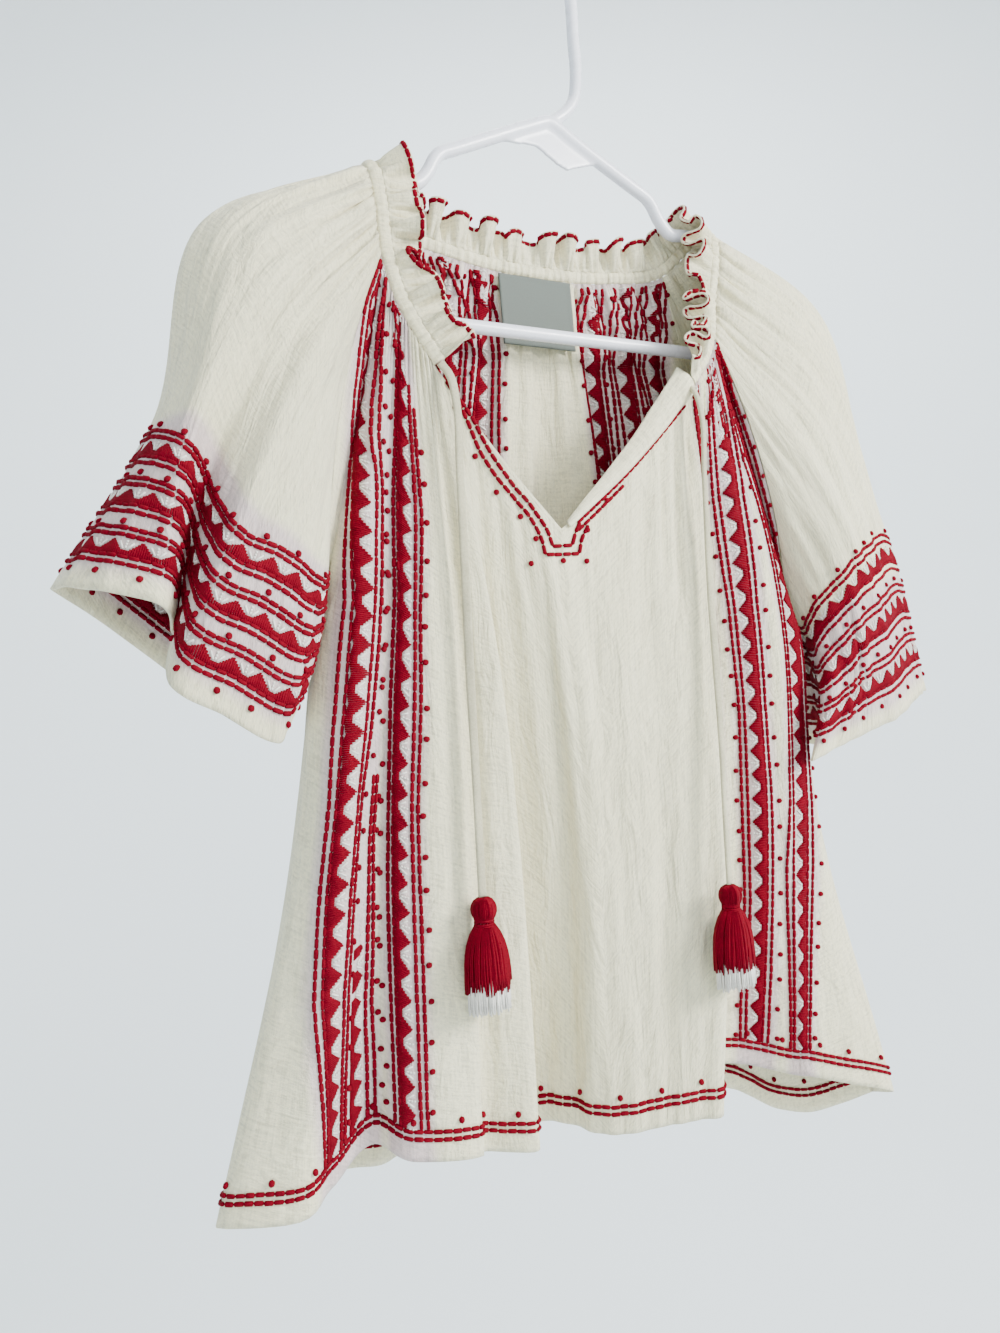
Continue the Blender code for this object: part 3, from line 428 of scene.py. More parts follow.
def grid_normals(grid, closed):
    """Unit normals of a grid of points, outward for a panel that runs left to right."""
    if closed:
        across = np.roll(grid, -1, axis=0) - np.roll(grid, 1, axis=0)
    else:
        across = np.gradient(grid, axis=0)
    down = np.gradient(grid, axis=1)
    return unit(np.cross(unit(across), unit(down)))


# Mirrored place of both armpits, how far round it the seams open wider, and how much wider
ARMPIT, ARMPIT_REACH, ARMPIT_SHARE = np.array([171.0, 10.0, 436.0]), 45, 2.6


def pull_edge(edge, beside, gap):
    """Draws one edge of a grid back from its seam line, square to the seam and more at the armpits."""
    nearness = np.exp(-(np.linalg.norm(np.abs(edge) - ARMPIT, axis=1) / ARMPIT_REACH) ** 2)
    seam = unit(np.gradient(edge, axis=0))
    inward = beside - edge
    inward -= seam * np.sum(inward * seam, axis=1, keepdims=True)
    return edge + unit(inward) * (gap * (1 + ARMPIT_SHARE * nearness))[:, None]


def pull_edges(grid, gap, closed):
    """Draws the top edge, and the side edges of an open panel, back from the seams."""
    out = grid.copy()
    out[:, 0] = pull_edge(grid[:, 0], grid[:, 1], gap)
    if not closed:
        out[0] = pull_edge(out[0], out[1], gap)
        out[-1] = pull_edge(out[-1], out[-2], gap)
    return out


def body_lines(folds, edge, first_side, last_side):
    """The fold lines of a body panel between its two side lines."""
    lines = [(fold[1], body_row_curve(fold, edge)) for fold in folds]
    return [(0.0, first_side)] + lines + [last_side]


def front_grid(places, rows):
    """Points of the front's middle surface."""
    left = side_line(raglan(NECK_FRONT_LEFT, RAGLAN_FRONT_LEFT, False), SIDE_LEFT)
    right = side_line(raglan(NECK_FRONT_RIGHT, RAGLAN_FRONT_RIGHT, False), SIDE_RIGHT)
    lines = body_lines(FRONT_FOLDS, FRONT_EDGE, left, (4.0, right))
    return cloth_grid(lines, FRONT_EDGE, places, rows, None, False)


def back_grid(places, rows):
    """Points of the back's middle surface."""
    right = side_line(raglan(NECK_BACK_RIGHT, RAGLAN_BACK_RIGHT, False), SIDE_RIGHT)
    left = side_line(raglan(NECK_BACK_LEFT, RAGLAN_BACK_LEFT, False), SIDE_LEFT)
    lines = body_lines(BACK_FOLDS, BACK_EDGE, right, (1.0, left))
    return cloth_grid(lines, BACK_EDGE, places, rows, BACK_GATHERS, False)


def sleeve_grid(side, places, rows):
    """Points of a sleeve's middle surface."""
    folds, edge = ((SLEEVE_LEFT_FOLDS, SLEEVE_LEFT_EDGE) if side < 0
                   else (SLEEVE_RIGHT_FOLDS, SLEEVE_RIGHT_EDGE))
    lines = [(fold[1], sleeve_row_curve(fold, edge)) for fold in folds]
    return cloth_grid(lines, edge, places, rows, SLEEVE_GATHERS, True)


def arm_height(x):
    """Height of the arms' middle line at a distance from the hanger's middle."""
    return APEX_Z - abs(x) * ARM_SLOPE


def hanger_frame_path():
    """One closed outline of the hanger: along the left arm, down, along the bar and back up."""
    half = [(0, APEX_Z)]
    for x in (20, 45, 68, NOTCH_X - 8):
        half.append((x, arm_height(x)))
    half.append((NOTCH_X + 1, arm_height(NOTCH_X + 1) - NOTCH_DEPTH * 0.75))
    half.append((NOTCH_X + 9, arm_height(NOTCH_X + 9) - NOTCH_DEPTH))
    half.append((NOTCH_X + 20, arm_height(NOTCH_X + 20) - NOTCH_DEPTH * 0.55))
    half.append((NOTCH_X + 32, arm_height(NOTCH_X + 32) - NOTCH_DEPTH * 0.12))
    for x in (135, 160, 185):
        half.append((x, arm_height(x)))
    nose_r = (arm_height(200) - BAR_Z) / 2
    nose_z = BAR_Z + nose_r
    nose_x = HANGER_HALF_WIDTH - HANGER_TUBE_R - 0.95 * nose_r
    for degrees in (62, 40, 15, -10, -35, -60, -90):
        angle = math.radians(degrees)
        half.append((nose_x + nose_r * 0.95 * math.cos(angle), nose_z + nose_r * math.sin(angle)))
    for x in (160, 110, 55, 0):
        half.append((x, BAR_Z))
    right = half
    left = [(-x, z) for x, z in half[1:-1]][::-1]
    return [(x, 0.0, z) for x, z in right + left]


# Soft troughs pressed into the panels, in millimetres: name, (row, place) points from top
# to foot, depth and width. A minus depth is a ridge.
FRONT_CREASES = [
    ("beside_left_columns", [(0.10, 0.74), (0.35, 0.76), (0.70, 0.77), (0.98, 0.76)], 1.5, 6.0),
    ("left_ripple", [(0.04, 0.86), (0.30, 0.88), (0.62, 0.87)], 1.3, 4.0),
    ("long_ridge", [(0.03, 0.99), (0.30, 0.985), (0.75, 0.985), (1.00, 0.98)], -1.6, 4.0),
    ("centre_fall", [(0.02, 1.72), (0.35, 1.76), (0.80, 1.74)], 1.4, 8.0),
    ("centre_ridge", [(0.05, 1.88), (0.45, 1.90), (1.00, 1.86)], -1.2, 9.0),
    ("slit_foot_left", [(0.01, 1.96), (0.20, 1.93), (0.55, 1.90)], 1.1, 7.0),
    ("slit_foot_right", [(0.01, 2.05), (0.25, 2.16), (0.60, 2.22)], 1.3, 8.0),
    ("right_fall", [(0.03, 2.62), (0.40, 2.60), (0.95, 2.58)], 1.4, 9.0),
    ("right_ridge", [(0.02, 2.86), (0.40, 2.90), (0.95, 2.92)], -1.2, 6.0),
    ("right_neck_1", [(0.01, 2.72), (0.10, 2.71), (0.24, 2.70)], 1.6, 4.0),
    ("right_neck_2", [(0.01, 2.84), (0.10, 2.82), (0.30, 2.80)], 1.8, 4.0),
    ("right_neck_3", [(0.01, 2.94), (0.08, 2.92), (0.20, 2.88)], 1.4, 3.5),
    ("right_flare", [(0.45, 3.93), (0.75, 3.92), (1.00, 3.90)], 1.6, 10.0),
    ("left_flare", [(0.45, 0.10), (0.75, 0.10), (1.00, 0.08)], 1.6, 9.0),
]
BACK_CREASES = [
    ("middle_left", [(0.03, 0.54), (0.40, 0.55), (0.90, 0.54)], 1.8, 6.0),
    ("middle_right", [(0.03, 0.45), (0.40, 0.46), (0.90, 0.45)], 1.8, 6.0),
    ("pleat_left", [(0.03, 0.64), (0.50, 0.64), (0.98, 0.63)], -1.6, 7.0),
    ("pleat_right", [(0.03, 0.36), (0.50, 0.36), (0.98, 0.37)], -1.6, 7.0),
    ("outer_left", [(0.10, 0.82), (0.50, 0.82), (0.98, 0.83)], 1.8, 8.0),
    ("outer_right", [(0.10, 0.18), (0.50, 0.18), (0.98, 0.17)], 1.8, 8.0),
]
SLEEVE_CREASES = [
    ("front_drag", [(0.02, 1.10), (0.35, 1.06), (0.80, 1.02)], 1.2, 8.0),
    ("front_drag_low", [(0.10, 0.80), (0.45, 0.86), (0.85, 0.88)], 1.3, 8.0),
    ("lobe_press", [(0.15, 0.55), (0.55, 0.58), (0.95, 0.60)], 1.0, 9.0),
    ("shoulder_front", [(0.03, 1.40), (0.30, 1.46), (0.70, 1.48)], 1.1, 7.0),
    ("shoulder_back", [(0.03, 1.90), (0.30, 1.92), (0.80, 1.94)], 1.4, 7.0),
    ("back_drag", [(0.05, 2.20), (0.40, 2.22), (0.90, 2.20)], 1.4, 9.0),
]

# Embroidered columns: row down the panel, place of the triangles' base and place of the far
# running stitch on their tips' side
FRONT_COLUMNS = {
    "left_outer": [(0.00, 0.07, 0.21), (0.05, 0.03, 0.22), (0.11, 0.045, 0.30), (0.15, 0.055, 0.34),
                   (0.257, 0.142, 0.381), (0.362, 0.214, 0.389), (0.468, 0.209, 0.373), (0.572, 0.196, 0.307),
                   (0.674, 0.179, 0.280), (0.778, 0.176, 0.264), (0.892, 0.199, 0.268), (1.0, 0.22, 0.28)],
    "left_inner": [(0.00, 0.42, 0.58), (0.058, 0.512, 0.64), (0.154, 0.530, 0.67), (0.224, 0.535, 0.684),
                   (0.341, 0.552, 0.659), (0.460, 0.543, 0.657), (0.577, 0.544, 0.646), (0.693, 0.552, 0.655),
                   (0.810, 0.566, 0.659), (0.929, 0.580, 0.660), (1.0, 0.585, 0.665)],
    "left_middle": [(0.00, 0.36, 0.46), (0.50, 0.33, 0.42), (0.63, 0.31, 0.386), (0.70, 0.31, 0.398),
                    (0.762, 0.305, 0.405), (0.822, 0.300, 0.404), (0.894, 0.305, 0.430), (1.0, 0.315, 0.445)],
    "right_inner": [(0.00, 3.12, 3.05), (0.30, 3.18, 3.08), (0.613, 3.24, 3.10), (0.907, 3.26, 3.10),
                    (1.0, 3.26, 3.10)],
    "right_middle": [(0.00, 3.70, 3.22), (0.061, 3.684, 3.26), (0.193, 3.596, 3.398), (0.331, 3.572, 3.451),
                     (0.471, 3.567, 3.477), (0.611, 3.564, 3.475), (0.754, 3.546, 3.477),
                     (0.900, 3.525, 3.461), (1.0, 3.512, 3.455)],
    "right_outer": [(0.00, 3.96, 3.90), (0.20, 3.93, 3.76), (0.477, 3.87, 3.724), (0.616, 3.847, 3.698),
                    (0.756, 3.803, 3.655), (0.894, 3.761, 3.632), (1.0, 3.71, 3.61)],
}
# Stitched rows of one column or band, in millimetres from the triangles' base towards their tips
KNOTS_OUT, LINE_OUT_2, LINE_OUT_1 = -12.9, -6.4, -2.2
TIP_HEIGHT, LINE_IN_1, LINE_IN_2, KNOTS_IN = 8.8, 11.0, 15.3, 19.1
RIBBON_OFFSETS = [KNOTS_OUT - 2, KNOTS_OUT, LINE_OUT_2, LINE_OUT_1, 0, 3, 6, TIP_HEIGHT, LINE_IN_1, LINE_IN_2,
                  KNOTS_IN, KNOTS_IN + 2]
REPEAT = 32.0
# Height of the triangles' base in the three bands of a sleeve above its cuff, in millimetres
SLEEVE_BANDS = (20.0, 46.2, 72.4)
SLEEVE_BAND_SHARE = 0.82
# How much further from the cuff the bands lie round a sleeve: place and factor
BAND_RISE = {"sleeve_left": [(0.0, 1.02), (0.6, 1.02), (1.05, 0.93), (1.3, 0.94), (1.7, 1.08), (3.0, 1.02)],
             "sleeve_right": [(0.0, 1.16), (0.1, 1.20), (0.37, 1.22), (0.65, 1.30), (0.95, 1.43),
                              (1.27, 1.49), (1.7, 1.35), (3.0, 1.16)]}


def colour_property(name, description, default):
    """A colour in the scene's linear values."""
    return bpy.props.FloatVectorProperty(name=name, description=description, subtype="COLOR", size=3,
                                         min=0, max=1, default=default)


def size_property(name, description, low, high, default):
    """A length in metres."""
    return bpy.props.FloatProperty(name=name, description=description, unit="LENGTH", min=low, max=high,
                                   default=default)


class BlouseCloth(bpy.types.PropertyGroup):
    """Sizes and colours of the cotton."""
    cream: colour_property("Cotton", "Colour of the unbleached cotton", (0.860, 0.805, 0.560))
    # painted shade: a darker, pinker cotton colour laid between the rows of red stitches
    shade: colour_property("Stitched cotton", "Colour of the cotton between the rows of red stitches",
                           (0.670, 0.545, 0.530))
    wall: size_property("Cloth thickness", "Thickness of the cloth walls", 0.0003, 0.002, 0.0009)
    hem: size_property("Hem height", "Height of the turned hems", 0.004, 0.03, 0.012)
    thread_pitch: size_property("Weave pitch", "Distance between two threads of the weave",
                                0.0002, 0.002, 0.0007)


class BlouseThread(bpy.types.PropertyGroup):
    """Sizes and colours of the embroidery."""
    red: colour_property("Red wool", "Colour of the embroidery wool", (0.205, 0.0010, 0.012))
    white: colour_property("White thread", "Colour of the fly stitches and of the tassels' inner threads",
                           (0.880, 0.855, 0.790))
    stitch_length: size_property("Stitch length", "Length of a running stitch", 0.002, 0.012, 0.0062)
    stitch_width: size_property("Stitch width", "Width of a running stitch", 0.0005, 0.004, 0.0030)
    knot_width: size_property("Knot width", "Width of a knot stitch", 0.001, 0.006, 0.0036)
    triangle_length: size_property("Triangle length", "Length of a satin triangle along its row",
                                   0.008, 0.03, 0.0158)


class BlouseNeck(bpy.types.PropertyGroup):
    """Sizes of the frill, the drawstring, the tassels and the label."""
    frill: size_property("Frill height", "Height of the frill above the casing", 0.01, 0.03, FRILL_H * MM)
    cord: size_property("Drawstring width", "Width of the flat drawstring", 0.002, 0.008, CORD_DIA * MM)
    label: colour_property("Label", "Colour of the blank woven label", (0.115, 0.135, 0.118))


class BlouseHanger(bpy.types.PropertyGroup):
    """Size and colour of the hanger."""
    tube: size_property("Tube radius", "Radius of the hanger's moulded tube",
                        0.003, 0.006, HANGER_TUBE_R * MM)
    plastic: colour_property("Plastic", "Colour of the moulded plastic", (0.800, 0.810, 0.880))


class BlouseStage(bpy.types.PropertyGroup):
    """Colour and light of the plain studio."""
    backdrop: colour_property("Floor and wall", "Colour of the plain floor and wall", (0.820, 0.875, 0.900))
    key: bpy.props.FloatProperty(
        name="Key light", description="Power of the large soft light in watts", min=1, max=500, default=100.0)
    fill: bpy.props.FloatProperty(
        name="Fill light", description="Power of the soft fill light in watts", min=0, max=500, default=24.0)


# ---------------------------------------------------------------- materials

def start_finish(name, **settings):
    """A material, its shader with its constants set, and a helper that adds a linked node."""
    finish = bpy.data.materials.new(name)
    finish.use_nodes = True
    tree = finish.node_tree
    shader = tree.nodes["Principled BSDF"]
    for key, value in settings.items():
        shader.inputs[key.replace("_", " ")].default_value = value

    def node(kind, links=(), **values):
        new = tree.nodes.new(kind)
        for key, value in values.items():
            if key.startswith("in_"):
                new.inputs[key[3:].replace("_", " ")].default_value = value
            else:
                setattr(new, key, value)
        for socket, source in links:
            tree.links.new(source, new.inputs[socket])
        return new
    return finish, shader, node


def ramp(node, source, stops):
    """A colour ramp on a value; the stops are (place, grey or colour)."""
    new = node("ShaderNodeValToRGB", [("Fac", source)])
    for element, (place, colour) in zip(new.color_ramp.elements, stops):
        element.position = place
        element.color = (*colour, 1.0) if hasattr(colour, "__len__") else (colour, colour, colour, 1.0)
    return new.outputs["Color"]


def mix(node, factor, first, second, blend="MIX"):
    """A mix of two colours; each may be a colour or a socket."""
    links = [(0, factor)] if not isinstance(factor, float) else []
    new = node("ShaderNodeMix", links, data_type="RGBA", blend_type=blend)
    if isinstance(factor, float):
        new.inputs[0].default_value = factor
    for socket, value in ((6, first), (7, second)):
        if hasattr(value, "is_output"):
            new.id_data.links.new(value, new.inputs[socket])
        else:
            new.inputs[socket].default_value = (*value, 1.0)
    return new.outputs[2]


def shaded(node, base, source, low, high):
    """The base colour, darkened or lightened by a ramp on a value."""
    return mix(node, 1.0, base, ramp(node, source, [low, high]), "MULTIPLY")


def noise(node, space, scale, detail, **settings):
    """The value of a noise texture."""
    return node("ShaderNodeTexNoise", [("Vector", space)], in_Scale=scale, in_Detail=detail,
                **settings).outputs["Fac"]


def bump(node, height, strength, distance, over=None):
    """A bump, laid over an earlier one where that is given."""
    links = [("Height", height)] + ([("Normal", over)] if over else [])
    return node("ShaderNodeBump", links, in_Strength=strength, in_Distance=distance).outputs[0]


def finished(finish, shader, base, normal):
    """The material with its colour and its normal joined on."""
    finish.node_tree.links.new(base, shader.inputs["Base Color"])
    finish.node_tree.links.new(normal, shader.inputs["Normal"])
    return finish


def voile_finish():
    """Cream cotton voile: uneven plain weave, slubs and soft wrinkles, with painted shade that makes it
    greyer and pinker between the stitches.
    """
    cloth = bpy.context.scene.blouse_cloth
    finish, shader, node = start_finish(
        "cream_voile", Roughness=0.86, Specular_IOR_Level=0.25, Sheen_Weight=0.25, Sheen_Roughness=0.5,
        Subsurface_Weight=0.12, Subsurface_Radius=(0.006, 0.005, 0.004), Subsurface_Scale=1.0)
    uv = node("ShaderNodeUVMap", uv_map="weave").outputs["UV"]
    threads, slubs = [], []
    for turn, size in ((0.0, (640.0, 42.0, 1.0)), (math.pi / 2, (42.0, 640.0, 1.0))):
        turned = node("ShaderNodeMapping", [("Vector", uv)], in_Rotation=(0, 0, turn)).outputs[0]
        threads.append(node("ShaderNodeTexWave", [("Vector", turned)], in_Scale=0.314 / cloth.thread_pitch,
                            in_Distortion=1.2, in_Detail=1.0, in_Detail_Scale=90.0).outputs["Fac"])
        stretched = node("ShaderNodeMapping", [("Vector", uv)], in_Scale=size).outputs[0]
        slubs.append(noise(node, stretched, 1.0, 2.0))
    weave = node("ShaderNodeMath", [(0, threads[0]), (1, threads[1])], operation="MULTIPLY").outputs[0]
    slub = node("ShaderNodeMath", [(0, slubs[0]), (1, slubs[1])], operation="ADD").outputs[0]
    space = node("ShaderNodeTexCoord").outputs["Object"]
    cloud = noise(node, space, 9.0, 3.0)
    long_way = node("ShaderNodeMapping", [("Vector", uv)], in_Scale=(62.0, 20.0, 1.0)).outputs[0]
    crumple = noise(node, long_way, 1.0, 4.0, in_Roughness=0.55, in_Distortion=1.1)
    grain = noise(node, uv, 460.0, 4.0, in_Roughness=0.75)
    # painted shade: between the rows of stitches a per-point mask mixes the cream towards the darker, pinker
    # stitched-cotton colour
    stitch_shade = node("ShaderNodeAttribute", attribute_name="stitch_shade").outputs["Fac"]
    base = mix(node, stitch_shade, tuple(cloth.cream), tuple(cloth.shade))
    base = shaded(node, base, cloud, (0.3, (0.94, 0.935, 0.92)), (0.7, 1.0))
    base = shaded(node, base, grain, (0.40, 0.86), (0.60, 1.03))
    base = shaded(node, base, slub, (0.82, 0.86), (1.12, 1.03))
    base = shaded(node, base, weave, (0.0, 0.93), (0.6, 1.0))
    normal = bump(node, weave, 0.35, 0.0002)
    for height, strength, distance in ((grain, 0.7, 0.0008), (slub, 0.5, 0.0008), (crumple, 0.85, 0.0045)):
        normal = bump(node, height, strength, distance, normal)
    return finished(finish, shader, base, normal)


def plied_finish(name, colour, dark, scale, sheen):
    """Soft plied thread: fibres that run round it, and small light and dark places."""
    finish, shader, node = start_finish(name, Roughness=0.9, Specular_IOR_Level=0.08, Sheen_Weight=sheen)
    space = node("ShaderNodeTexCoord").outputs["Object"]
    fibres = noise(node, space, scale, 3.0, in_Distortion=0.6)
    patches = noise(node, space, scale * 0.08, 2.0)
    base = mix(node, ramp(node, fibres, [(0.35, 0.0), (0.65, 1.0)]), dark, colour)
    base = shaded(node, base, patches, (0.3, 0.86), (0.7, 1.06))
    return finished(finish, shader, base, bump(node, fibres, 0.5, 0.0005))


def darker(colour, share):
    """A colour with its three values scaled."""
    return tuple(c * share for c in colour)


def red_finish():
    """The red wool of the embroidery and the tassels."""
    red = tuple(bpy.context.scene.blouse_thread.red)
    return plied_finish("red_wool", red, darker(red, 0.6), 1500.0, 0.0)


def white_finish():
    """The white thread of the fly stitches and the tassels' ends."""
    white = tuple(bpy.context.scene.blouse_thread.white)
    return plied_finish("white_thread", white, darker(white, 0.82), 1500.0, 0.1)


def cord_painted_shade_finish():
    """The cream cotton of the drawstring, drawn darker than the cloth as painted shade."""
    # painted shade: the cord is drawn at 0.62 of the cloth's cream, standing in for its shadow and shaded
    # edges
    cream = darker(bpy.context.scene.blouse_cloth.cream, 0.62)
    return plied_finish("cord_cotton_painted_shade", cream, darker(cream, 0.84), 700.0, 0.2)


def label_finish():
    """Fine woven label cloth in a plain grey green, with its ribs in the weave."""
    colour = tuple(bpy.context.scene.blouse_neck.label)
    finish, shader, node = start_finish("label_weave", Roughness=0.7, Sheen_Weight=0.15)
    uv = node("ShaderNodeUVMap", uv_map="weave").outputs["UV"]
    ribs = node("ShaderNodeTexWave", [("Vector", uv)], bands_direction="Y", in_Scale=900.0,
                in_Distortion=0.5).outputs["Fac"]
    base = mix(node, ramp(node, ribs, [(0.1, 0.0), (0.9, 1.0)]), darker(colour, 0.88), colour)
    base = shaded(node, base, noise(node, uv, 1200.0, 2.0), (0.3, 0.9), (0.7, 1.05))
    return finished(finish, shader, base, bump(node, ribs, 0.4, 0.0002))


def plastic_finish():
    """Glossy moulded plastic with faint flow marks and handling wear in its gloss."""
    colour = tuple(bpy.context.scene.blouse_hanger.plastic)
    finish, shader, node = start_finish("moulded_plastic", Specular_IOR_Level=0.5, Coat_Weight=0.25,
                                        Coat_Roughness=0.15)
    space = node("ShaderNodeTexCoord").outputs["Object"]
    flow = noise(node, space, 14.0, 2.0)
    wear = ramp(node, noise(node, space, 160.0, 4.0), [(0.35, 0.22), (0.7, 0.36)])
    finish.node_tree.links.new(wear, shader.inputs["Roughness"])
    base = mix(node, ramp(node, flow, [(0.35, 0.0), (0.65, 1.0)]), darker(colour, 0.965), colour)
    return finished(finish, shader, base, bump(node, flow, 0.12, 0.001))


def stage_finish():
    """Plain matt paint with a faint unevenness."""
    colour = tuple(bpy.context.scene.blouse_stage.backdrop)
    finish, shader, node = start_finish("studio_paint", Roughness=0.95, Specular_IOR_Level=0.1)
    cloud = noise(node, node("ShaderNodeTexCoord").outputs["Object"], 0.8, 1.0)
    base = mix(node, ramp(node, cloud, [(0.3, 0.0), (0.7, 1.0)]), darker(colour, 0.97), colour)
    finish.node_tree.links.new(base, shader.inputs["Base Color"])
    return finish


FINISHES = {"cotton": voile_finish, "red": red_finish, "white": white_finish, "cord": cord_painted_shade_finish,
            "label": label_finish, "plastic": plastic_finish, "stage": stage_finish}
MADE_FINISHES = {}


def finish_of(name):
    """The material of one name, made the first time it is asked for."""
    if name not in MADE_FINISHES:
        MADE_FINISHES[name] = FINISHES[name]()
    return MADE_FINISHES[name]


# ---------------------------------------------------------------- mesh helpers

# Width of the weave's map on the rim of a wall, in millimetres
RIM = 0.9


def piece(name, vertices, faces, finish, corner_uv=None, stitch_shade=None, replaces=()):
    """A finished piece from points in millimetres, riding on the root body."""
    mesh = bpy.data.meshes.new(name)
    points = (np.asarray(vertices, float) * MM).tolist()
    mesh.from_pydata(points, [], [tuple(int(k) for k in f) for f in faces])
    mesh.shade_smooth()
    if corner_uv is not None:
        layer = mesh.uv_layers.new(name="weave")
        layer.data.foreach_set("uv", (np.asarray(corner_uv, float) * MM).ravel())
    # per-point share of the painted shade between the stitches
    if stitch_shade is not None:
        values = mesh.attributes.new("stitch_shade", "FLOAT", "POINT")
        values.data.foreach_set("value", np.asarray(stitch_shade, float).ravel())
    mesh.materials.append(finish_of(finish))
    new = bpy.data.objects.new(name, mesh)
    bpy.context.collection.objects.link(new)
    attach(new, "root")
    if replaces:
        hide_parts(*replaces)
    return new


def running(grid, axis):
    """Length run along one axis of a grid, from 0 at its first row."""
    steps = np.cumsum(np.linalg.norm(np.diff(grid, axis=axis), axis=2), axis=axis)
    return np.concatenate([np.zeros_like(np.take(steps, [0], axis=axis)), steps], axis=axis)


def shell(grid, closed, thickness, across, down):
    """Vertices, faces and corner UVs of a closed wall round a grid of middle points.

    thickness is a number or one value for each point; across and down are the weave's coordinates.
    """
    m, n = grid.shape[:2]
    normals = grid_normals(grid, closed)
    half = (np.broadcast_to(np.asarray(thickness, float), (m, n)) / 2)[:, :, None]
    push = normals * half
    vertices = np.concatenate([(grid + push).reshape(-1, 3), (grid - push).reshape(-1, 3)])
    base = m * n
    u = across
    if closed:
        u = np.concatenate([across, across[-1:] * 2 - across[-2:-1]])

    def corner(i, j, extra=(0.0, 0.0)):
        return np.stack([u[i, j] + extra[0], down[i % m, j] + extra[1]], -1)

    spans = m if closed else m - 1
    i, j = (a.ravel() for a in np.meshgrid(np.arange(spans), np.arange(n - 1), indexing="ij"))
    k = (i + 1) % m
    front = np.stack([i * n + j, k * n + j, k * n + j + 1, i * n + j + 1], axis=1)
    front_uv = np.stack([corner(i, j), corner(i + 1, j), corner(i + 1, j + 1), corner(i, j + 1)], axis=1)
    faces, uvs = [front, (front + base)[:, ::-1]], [front_uv, front_uv[:, ::-1]]

    def rim(a, b, uv, order):
        ring = np.stack([a, b, base + a, base + b], axis=1)
        faces.append(ring[:, list(order)])
        uvs.append(np.stack(uv, axis=1)[:, list(order)])

    i = np.arange(spans)
    for j, order in ((0, (1, 0, 2, 3)), (n - 1, (0, 1, 3, 2))):
        rim(i * n + j, (i + 1) % m * n + j, [corner(i, j), corner(i + 1, j), corner(i, j, (0, RIM)),
                                             corner(i + 1, j, (0, RIM))], order)
    j = np.arange(n - 1)
    for i, order in () if closed else ((0, (0, 1, 3, 2)), (m - 1, (1, 0, 2, 3))):
        rim(i * n + j, i * n + j + 1, [corner(i, j), corner(i, j + 1), corner(i, j, (RIM, 0)),
                                       corner(i, j + 1, (RIM, 0))], order)
    return vertices, np.concatenate(faces), np.concatenate(uvs).reshape(-1, 2)


def tube_faces(count, sides):
    """Faces of a tube of rings, its two ends open."""
    faces = []
    for i in range(count - 1):
        for j in range(sides):
            a, b = i * sides + j, i * sides + (j + 1) % sides
            faces.append((a, b, b + sides, a + sides))
    return faces


def clean_outside(made):
    """Makes the faces of a closed piece point outwards."""
    bm = bmesh.new()
    bm.from_mesh(made.data)
    bmesh.ops.recalc_face_normals(bm, faces=bm.faces)
    bm.to_mesh(made.data)
    bm.free()


def bead(sides, rings, squash):
    """Unit bead along x: its ring places and radii, for stitches, satin threads and knots."""
    vertices = [(-1.0, 0.0, 0.0)]
    for x, r in rings:
        for k in range(sides):
            a = 2 * math.pi * (k + 0.5) / sides
            vertices.append((x, r * math.cos(a), r * squash * math.sin(a)))
    vertices.append((1.0, 0.0, 0.0))
    faces = [(0, 1 + (k + 1) % sides, 1 + k) for k in range(sides)]
    faces += [tuple(1 + k for k in face) for face in tube_faces(len(rings), sides)]
    last = 1 + (len(rings) - 1) * sides
    end = len(vertices) - 1
    faces += [(last + k, last + (k + 1) % sides, end) for k in range(sides)]
    return np.array(vertices), faces


STITCH = bead(6, [(-0.66, 0.88), (0.66, 0.88)], 0.8)
SATIN = bead(4, [(-0.93, 0.80), (0.93, 0.80)], 0.85)
KNOT = bead(7, [(-0.62, 0.80), (0.0, 1.0), (0.62, 0.80)], 0.72)


class Stitches:
    """Many beads of one thread, gathered into one mesh."""

    def __init__(self):
        self.vertices, self.faces, self.count = [], [], 0

    def add(self, shape, centres, axes, normals, half_length, half_width):
        """Beads at centres along axes, flat side on the cloth."""
        template, faces = shape
        centres, axes, normals = (np.atleast_2d(np.asarray(a, float)) for a in (centres, axes, normals))
        n = len(centres)
        if n == 0:
            return
        axes = unit(axes)
        side = unit(np.cross(normals, axes))
        up = np.cross(axes, side)
        half_length = np.broadcast_to(np.asarray(half_length, float), (n,))
        half_width = np.broadcast_to(np.asarray(half_width, float), (n,))
        points = (centres[:, None, :]
                  + axes[:, None, :] * (template[None, :, :1] * half_length[:, None, None])
                  + side[:, None, :] * (template[None, :, 1:2] * half_width[:, None, None])
                  + up[:, None, :] * (template[None, :, 2:3] * half_width[:, None, None]))
        self.vertices.append(points.reshape(-1, 3))
        for k in range(n):
            base = self.count + k * len(template)
            self.faces.extend(tuple(base + q for q in face) for face in faces)
        self.count += n * len(template)

    def make(self, name, finish, slot):
        """The piece that holds all the beads."""
        return piece(name, np.concatenate(self.vertices), self.faces, finish)


def press_creases(grid, places, rows, creases, closed, outward):
    """Soft troughs along given lines, fading at both ends."""
    run = running(grid, 0)
    push = np.zeros(grid.shape[:2])
    for _, line, depth, width in creases:
        line = np.array(line)
        for j, row in enumerate(rows):
            if line[0, 0] <= row <= line[-1, 0]:
                fade = math.sin(math.pi * (row - line[0, 0]) / (line[-1, 0] - line[0, 0])) ** 0.6
                centre = np.interp(np.interp(row, line[:, 0], line[:, 1]), places, run[:, j])
                push[:, j] -= 1.7 * depth * fade * np.exp(-((run[:, j] - centre) / width) ** 2)
    return grid + grid_normals(grid, closed) * outward * push[:, :, None]


